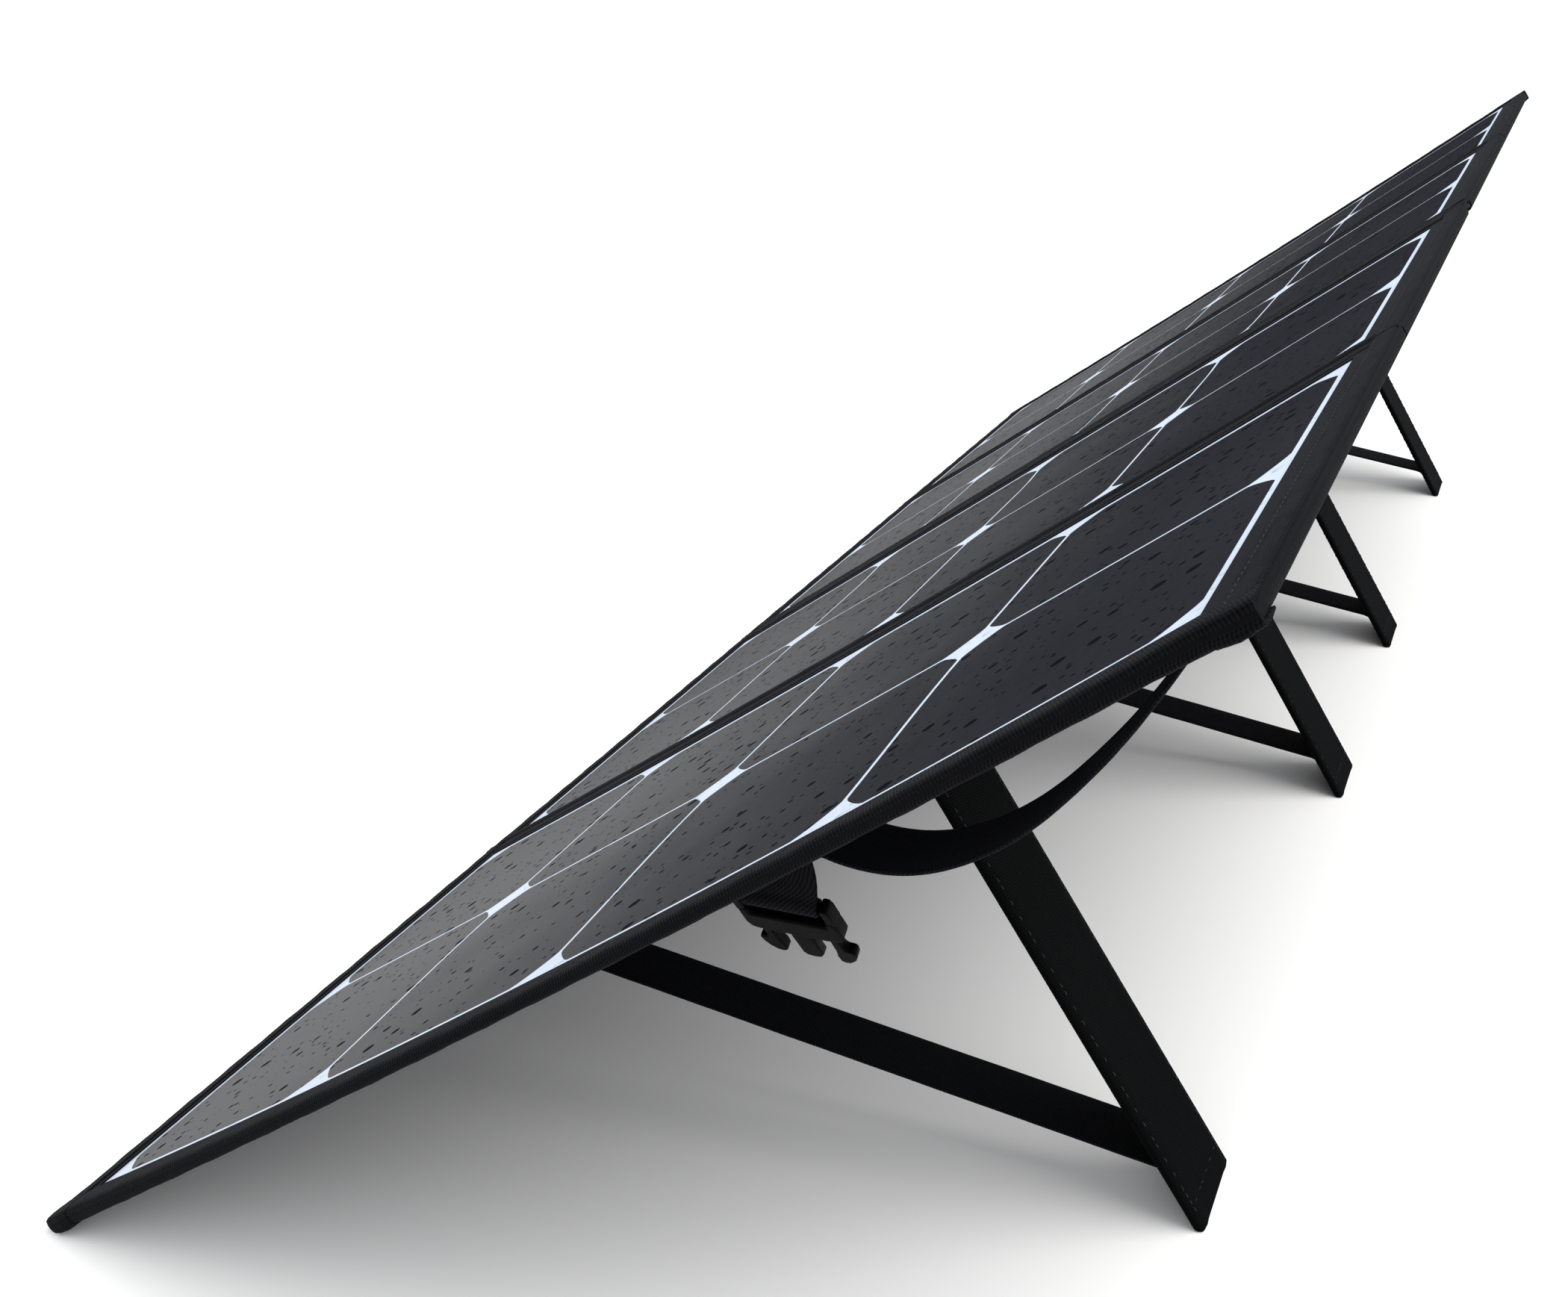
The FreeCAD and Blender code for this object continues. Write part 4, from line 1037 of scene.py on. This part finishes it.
def add_closure(name, side, swing):
    """Webbing sewn flat, turned down at its fold, and looped round the buckle's bar."""
    bar = Vector(joints[swing]["pos_m"])
    number = 1 if side > 0 else 4
    anchor_y = 378.0
    face = FABRIC_BACK - (2.1 if side > 0 else 0.7)
    sag = back_sag(number, side * 562, anchor_y)
    fold = at(side * 565.0, anchor_y, face - sag)
    sewn = [at(side * (565.0 - d), anchor_y, face - sag) for d in (25.0, 14.0, 3.0)]
    radius = 2.4 * MM
    ring = []
    for turn in steps(100.0, 430.0, 22.0):
        a = math.radians(turn)
        ring.append(bar + Vector((side * math.cos(a) * radius, 0, math.sin(a) * radius)))
    top = bar + Vector((side * 0.9 * MM, 0, 5.4 * MM))
    neck = [fold + Vector((side * 0.6 * MM, 0, -0.8 * MM)), fold.lerp(top, 0.6), top]
    path = smooth_path(sewn + neck + ring[::-1], 1.0 * MM, 2)
    across = []
    for p in path:
        turned = smooth(((fold.z - p.z) / MM - 2.0) / 6.0)
        across.append((UP * (1 - turned) + Vector((0, 1, 0)) * turned).normalized())
    strap("look_" + name, path, across, 24.0, 1.25, WEBBING, slanted=True,
          body="panel_%d" % number, slot="webbing", replaces=(name,))
    thread = [[(at(side * 552.0 + a, anchor_y + b, face - 0.75 - sag), -OUT)
               for a, b in pair]
              for pair in (((-9, -10), (9, -10)), ((-9, 10), (9, 10)), ((-9, -10), (-9, 10)),
                           ((9, -10), (9, 10)), ((-9, -10), (9, 10)), ((-9, 10), (9, -10)))]
    stitches(name + "_stitches", thread, THREAD, long=2.0, gap=3.0, thick=0.34,
             body="panel_%d" % number, slot="webbing")


def extruded(name, outline, thick, across, material, bevel, **told):
    """A moulding from an outline (across, down) of even thickness, with eased edges."""
    n = len(outline)
    verts = [Vector((sign * thick / 2, a, -d)) * MM for sign in (-1, 1) for a, d in outline]
    uvs = [(a, d) for _ in (0, 1) for a, d in outline]
    faces = [tuple(range(n))[::-1], tuple(range(n, 2 * n))]
    faces += [(i, (i + 1) % n, n + (i + 1) % n, n + i) for i in range(n)]
    verts = [across @ v for v in verts]
    piece = new_piece(name, verts, faces, uvs, material, **told)
    soften = piece.modifiers.new("eased_edges", "BEVEL")
    soften.width = bevel * MM
    soften.segments = 3
    soften.limit_method = "ANGLE"
    soften.angle_limit = math.radians(38)
    soften.harden_normals = False
    return crisp(piece, 45)


def add_male_buckle():
    """Body with cheeks and thumb wings, a broad middle prong, and two latching arms."""
    bar = Vector(joints["buckle_male_swing"]["pos_m"])
    low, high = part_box("buckle_male")
    lean = math.radians(34)
    place = Matrix.Translation(bar) @ Matrix.Rotation(lean, 4, "Y")
    told = {"body": "buckle_male", "slot": "buckle"}
    base = [(-15.6, 5.6), (-15.9, 10.0), (-15.9, 15.5), (-14.8, 18.6), (-12.0, 19.4),
            (-6.0, 19.6), (6.0, 19.6), (12.0, 19.4), (14.8, 18.6), (15.9, 15.5), (15.9, 10.0),
            (15.6, 5.6), (12.6, 5.4), (12.2, 9.2), (-12.2, 9.2), (-12.6, 5.4)]
    extruded("look_buckle_male", base, 5.2, place, BUCKLE, 0.9,
             replaces=("buckle_male",), **told)
    for side, label in ((1, "left"), (-1, "right")):
        cheek = [(13.0, -2.6), (14.2, -3.1), (15.4, -2.6), (16.0, -0.5), (16.0, 7.0),
                 (12.9, 7.0)]
        extruded("buckle_cheek_" + label, [(side * a, d) for a, d in cheek], 4.8, place, BUCKLE,
                 0.6, **told)
        arm = [(9.6, 19.0), (12.8, 19.0), (12.6, 25.5), (13.2, 27.2), (15.4, 27.6),
               (15.9, 28.8), (15.6, 31.5), (14.4, 34.6), (12.4, 37.0), (10.2, 37.4),
               (8.9, 36.4), (8.7, 33.0), (9.3, 29.5), (9.4, 26.0)]
        extruded("buckle_arm_" + label, [(side * a, d) for a, d in arm], 3.6, place, BUCKLE,
                 0.7, **told)
    prong = [(-3.6, 19.0), (3.6, 19.0), (3.5, 35.0), (2.4, 37.0), (0.0, 37.5), (-2.4, 37.0),
             (-3.5, 35.0)]
    extruded("buckle_middle_prong", prong, 3.4, place, BUCKLE, 0.7, **told)
    add_bar("buckle_male_bar", place, 13.5, told)


def add_bar(name, place, half, told):
    """The ribbed round bar that webbing loops over."""
    rings, uvs = [], []
    for a in steps(-half, half, 2.5):
        grip = 1.22 + 0.06 * math.cos(a * 2.5)
        ring = [(math.cos(t * math.pi / 8) * grip, math.sin(t * math.pi / 8) * grip)
                for t in range(16)]
        rings.append([place @ (Vector((p, a, q)) * MM) for p, q in ring])
        uvs.append([(a, t * 0.5) for t in range(16)])
    crisp(lofted(name, rings, uvs, BUCKLE, **told), 50)


def softened_copy(node, material, width, **told):
    """The CAD solid's own shape with its edges eased, as a moulded part comes out."""
    source = frame["nodes"][node]
    data = source.data.copy()
    data.materials.clear()
    data.materials.append(material)
    piece = bpy.data.objects.new("look_" + node, data)
    bpy.context.scene.collection.objects.link(piece)
    bm = bmesh.new()
    bm.from_mesh(data)
    bmesh.ops.remove_doubles(bm, verts=bm.verts, dist=1e-6)
    bmesh.ops.dissolve_limit(bm, angle_limit=math.radians(1.0), verts=bm.verts, edges=bm.edges)
    bm.to_mesh(data)
    bm.free()
    edge = piece.modifiers.new("eased_edges", "BEVEL")
    edge.width = width * MM
    edge.segments = 3
    edge.limit_method = "ANGLE"
    edge.angle_limit = math.radians(40)
    data.polygons.foreach_set("use_smooth", [True] * len(data.polygons))
    data.set_sharp_from_angle(angle=math.radians(40))
    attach(piece, told["body"])
    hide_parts(node)
    return piece


# ---- junction box details ----------------------------------------------------------------

def add_box_details():
    """The junction box's case, lid, screws, ribs and gland."""
    softened_copy("junction_box_case", BOX, 0.35, body="panel_4", slot="box")
    softened_copy("junction_box_lid", BOX, 0.7, body="panel_4", slot="box")
    low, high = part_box("junction_box_lid")
    left, right = low.x / MM, high.x / MM
    bottom, top = 402.0, 464.0
    face = FABRIC_BACK - 14.0 - 2.4
    for i, (x, y) in enumerate(((left + 6, bottom + 6), (right - 6, bottom + 6),
                                (left + 6, top - 6), (right - 6, top - 6))):
        rings, uvs = [], []
        for r, z in ((2.5, 0.05), (2.5, -0.45), (2.2, -0.75), (1.5, -0.95), (0.9, -0.55),
                     (0.3, -0.55)):
            ring = [(math.cos(t * math.pi / 12) * r, math.sin(t * math.pi / 12) * r)
                    for t in range(24)]
            rings.append([at(x + p, y + q, face + z) for p, q in ring])
            uvs.append([(p, q) for p, q in ring])
        crisp(lofted("box_screw_%d" % (i + 1), rings, uvs, SCREW_STEEL, body="panel_4",
                     slot="box"), 40)
    for i in range(5):
        y = bottom + 19 + i * 6
        rib = [at(x, y, face - 0.25) for x in steps(left + 22, right - 22, 6)]
        strap("box_lid_rib_%d" % (i + 1), rib, UP, 2.2, 0.9, BOX_RIB, body="panel_4", slot="box")
    add_gland(left)


def add_gland(box_left):
    """A fluted clamping nut with a hex foot, bored through."""
    low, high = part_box("junction_box_gland")
    middle = Vector((0, (low.y + high.y) / 2, (low.z + high.z) / 2))
    start, stop = low.x / MM, high.x / MM
    stations = ((stop - 0.2, 4.3, 0), (stop - 2.2, 4.3, 0), (stop - 2.3, 6.3, 2),
                (stop - 5.2, 6.3, 2), (stop - 5.4, 5.6, 0), (stop - 6.0, 6.2, 1),
                (start + 1.6, 6.0, 1), (start + 0.5, 5.4, 1), (start + 0.1, 4.6, 0),
                (start + 0.1, 3.35, 0), (start + 1.0, 3.25, 0), (stop - 0.2, 3.25, 0))
    rings, uvs = [], []
    for x, r, kind in stations:
        ring, uv = [], []
        for t in range(72):
            a = t * 2 * math.pi / 72
            reach = r
            if kind == 1:
                reach -= 0.3 * (0.5 + 0.5 * math.cos(a * 12))
            if kind == 2:
                turn = (a % (math.pi / 3)) - math.pi / 6
                reach = min(r, r * 0.9 / math.cos(turn))
            ring.append(Vector((x * MM, middle.y + math.cos(a) * reach * MM,
                                middle.z + math.sin(a) * reach * MM)))
            uv.append((x, t * 0.5))
        rings.append(ring)
        uvs.append(uv)
    crisp(lofted("look_junction_box_gland", rings, uvs, BOX_RIB, closed=True, body="panel_4",
                 slot="box", replaces=("junction_box_gland",)), 30)


# ---- make everything ---------------------------------------------------------------------

for number in (1, 2, 3, 4):
    add_panel_layers(number)
    add_wafers(number)
    add_binding(number)
    add_leg(number)
    add_flap(number)
    add_limit_strap(number)
for number, side in ((1, 1), (4, -1)):
    add_corner_wrap(number, side, -0.4, 13.5)
    add_corner_wrap(number, side, PANEL_HIGH - 13.5, PANEL_HIGH + 0.4)
for middle, label, bodies, reach, tall in (
        (296.0, "12", ("panel_1", "panel_2"), 3.4, 1.0),
        (-296.0, "34", ("panel_3", "panel_4"), 3.4, 1.0),
        (9.5, "23_near", ("panel_2", "spine"), 2.4, 0.68),
        (-9.5, "23_far", ("spine", "panel_3"), 2.4, 0.68)):
    add_fold_end("fold_end_low_" + label, middle, 0.3, 11.7, reach, tall)
    add_fold_end("fold_end_high_" + label, middle, PANEL_HIGH - 11.7, PANEL_HIGH - 0.3,
                 reach, tall)
add_valley("hinge_tape_12", 296.0)
add_valley("hinge_tape_34", -296.0)
add_spine()
add_lead("look_jumper_12", 304.5, 287.5, ("jumper_lead_12",))
add_lead("look_jumper_34", -287.5, -304.5, ("jumper_lead_34",))
add_lead("look_jumper_23", 16.5, 0.0, ("jumper_lead_23",))
add_lead("look_jumper_23_far", 0.0, -16.5, ())
add_handle()
add_closure("closure_webbing_near", 1, "buckle_male_swing")
add_closure("closure_webbing_far", -1, "buckle_female_swing")
add_male_buckle()
softened_copy("buckle_female", BUCKLE, 0.45, body="buckle_female", slot="buckle")
add_box_details()
for number in (1, 2, 3, 4):
    frame["nodes"]["leg_%d_bar" % number].data.materials.clear()
    frame["nodes"]["leg_%d_bar" % number].data.materials.append(STIFFENER)
frame["nodes"]["junction_box_diodes"].data.materials.clear()
frame["nodes"]["junction_box_diodes"].data.materials.append(CIRCUIT)


# ---- floor, light and camera -------------------------------------------------------------

floor_data = bpy.data.meshes.new("floor")
floor_data.from_pydata([(-30, -30, -0.0005), (30, -30, -0.0005), (30, 30, -0.0005),
                        (-30, 30, -0.0005)], [], [(0, 1, 2, 3)])
floor = bpy.data.objects.new("floor", floor_data)
bpy.context.scene.collection.objects.link(floor)
pale = bpy.data.materials.new("pale_floor")
pale.use_nodes = True
pale.node_tree.nodes["Principled BSDF"].inputs["Base Color"].default_value = (.97, .95, .92, 1)
pale.node_tree.nodes["Principled BSDF"].inputs["Roughness"].default_value = 0.95
pale.node_tree.nodes["Principled BSDF"].inputs["Specular IOR Level"].default_value = 0.0
floor_data.materials.append(pale)

world = bpy.data.worlds.new("studio")
world.use_nodes = True
world.node_tree.nodes["Background"].inputs["Color"].default_value = (0.97, 1.0, 1.05, 1)
world.node_tree.nodes["Background"].inputs["Strength"].default_value = 1.08
bpy.context.scene.world = world


def soft_light(name, place, aim, wide, power):
    """A square soft box that faces a point."""
    data = bpy.data.lights.new(name, "AREA")
    data.shape = "SQUARE"
    data.size = wide
    data.energy = power
    lamp = bpy.data.objects.new(name, data)
    lamp.location = place
    lamp.rotation_mode = "QUATERNION"
    lamp.rotation_quaternion = (Vector(aim) - Vector(place)).to_track_quat("-Z", "Y")
    bpy.context.scene.collection.objects.link(lamp)


soft_light("overhead", (0.1, 1.3, 2.3), (0.2, 0.1, 0.0), 2.2, 50.0)

view = bpy.data.cameras.new("camera")
view.lens = 38.377
view.sensor_width = 36.0
view.shift_x = -0.1308
view.shift_y = -0.0093
view.clip_start = 0.01
view.clip_end = 100.0
camera = bpy.data.objects.new("camera", view)
camera.location = (0.93414, 0.28338, 0.46516)
camera.rotation_euler = [math.radians(a) for a in (66.434, 0.502, 109.260)]
bpy.context.scene.collection.objects.link(camera)
bpy.context.scene.camera = camera
bpy.context.scene.view_settings.view_transform = "Standard"
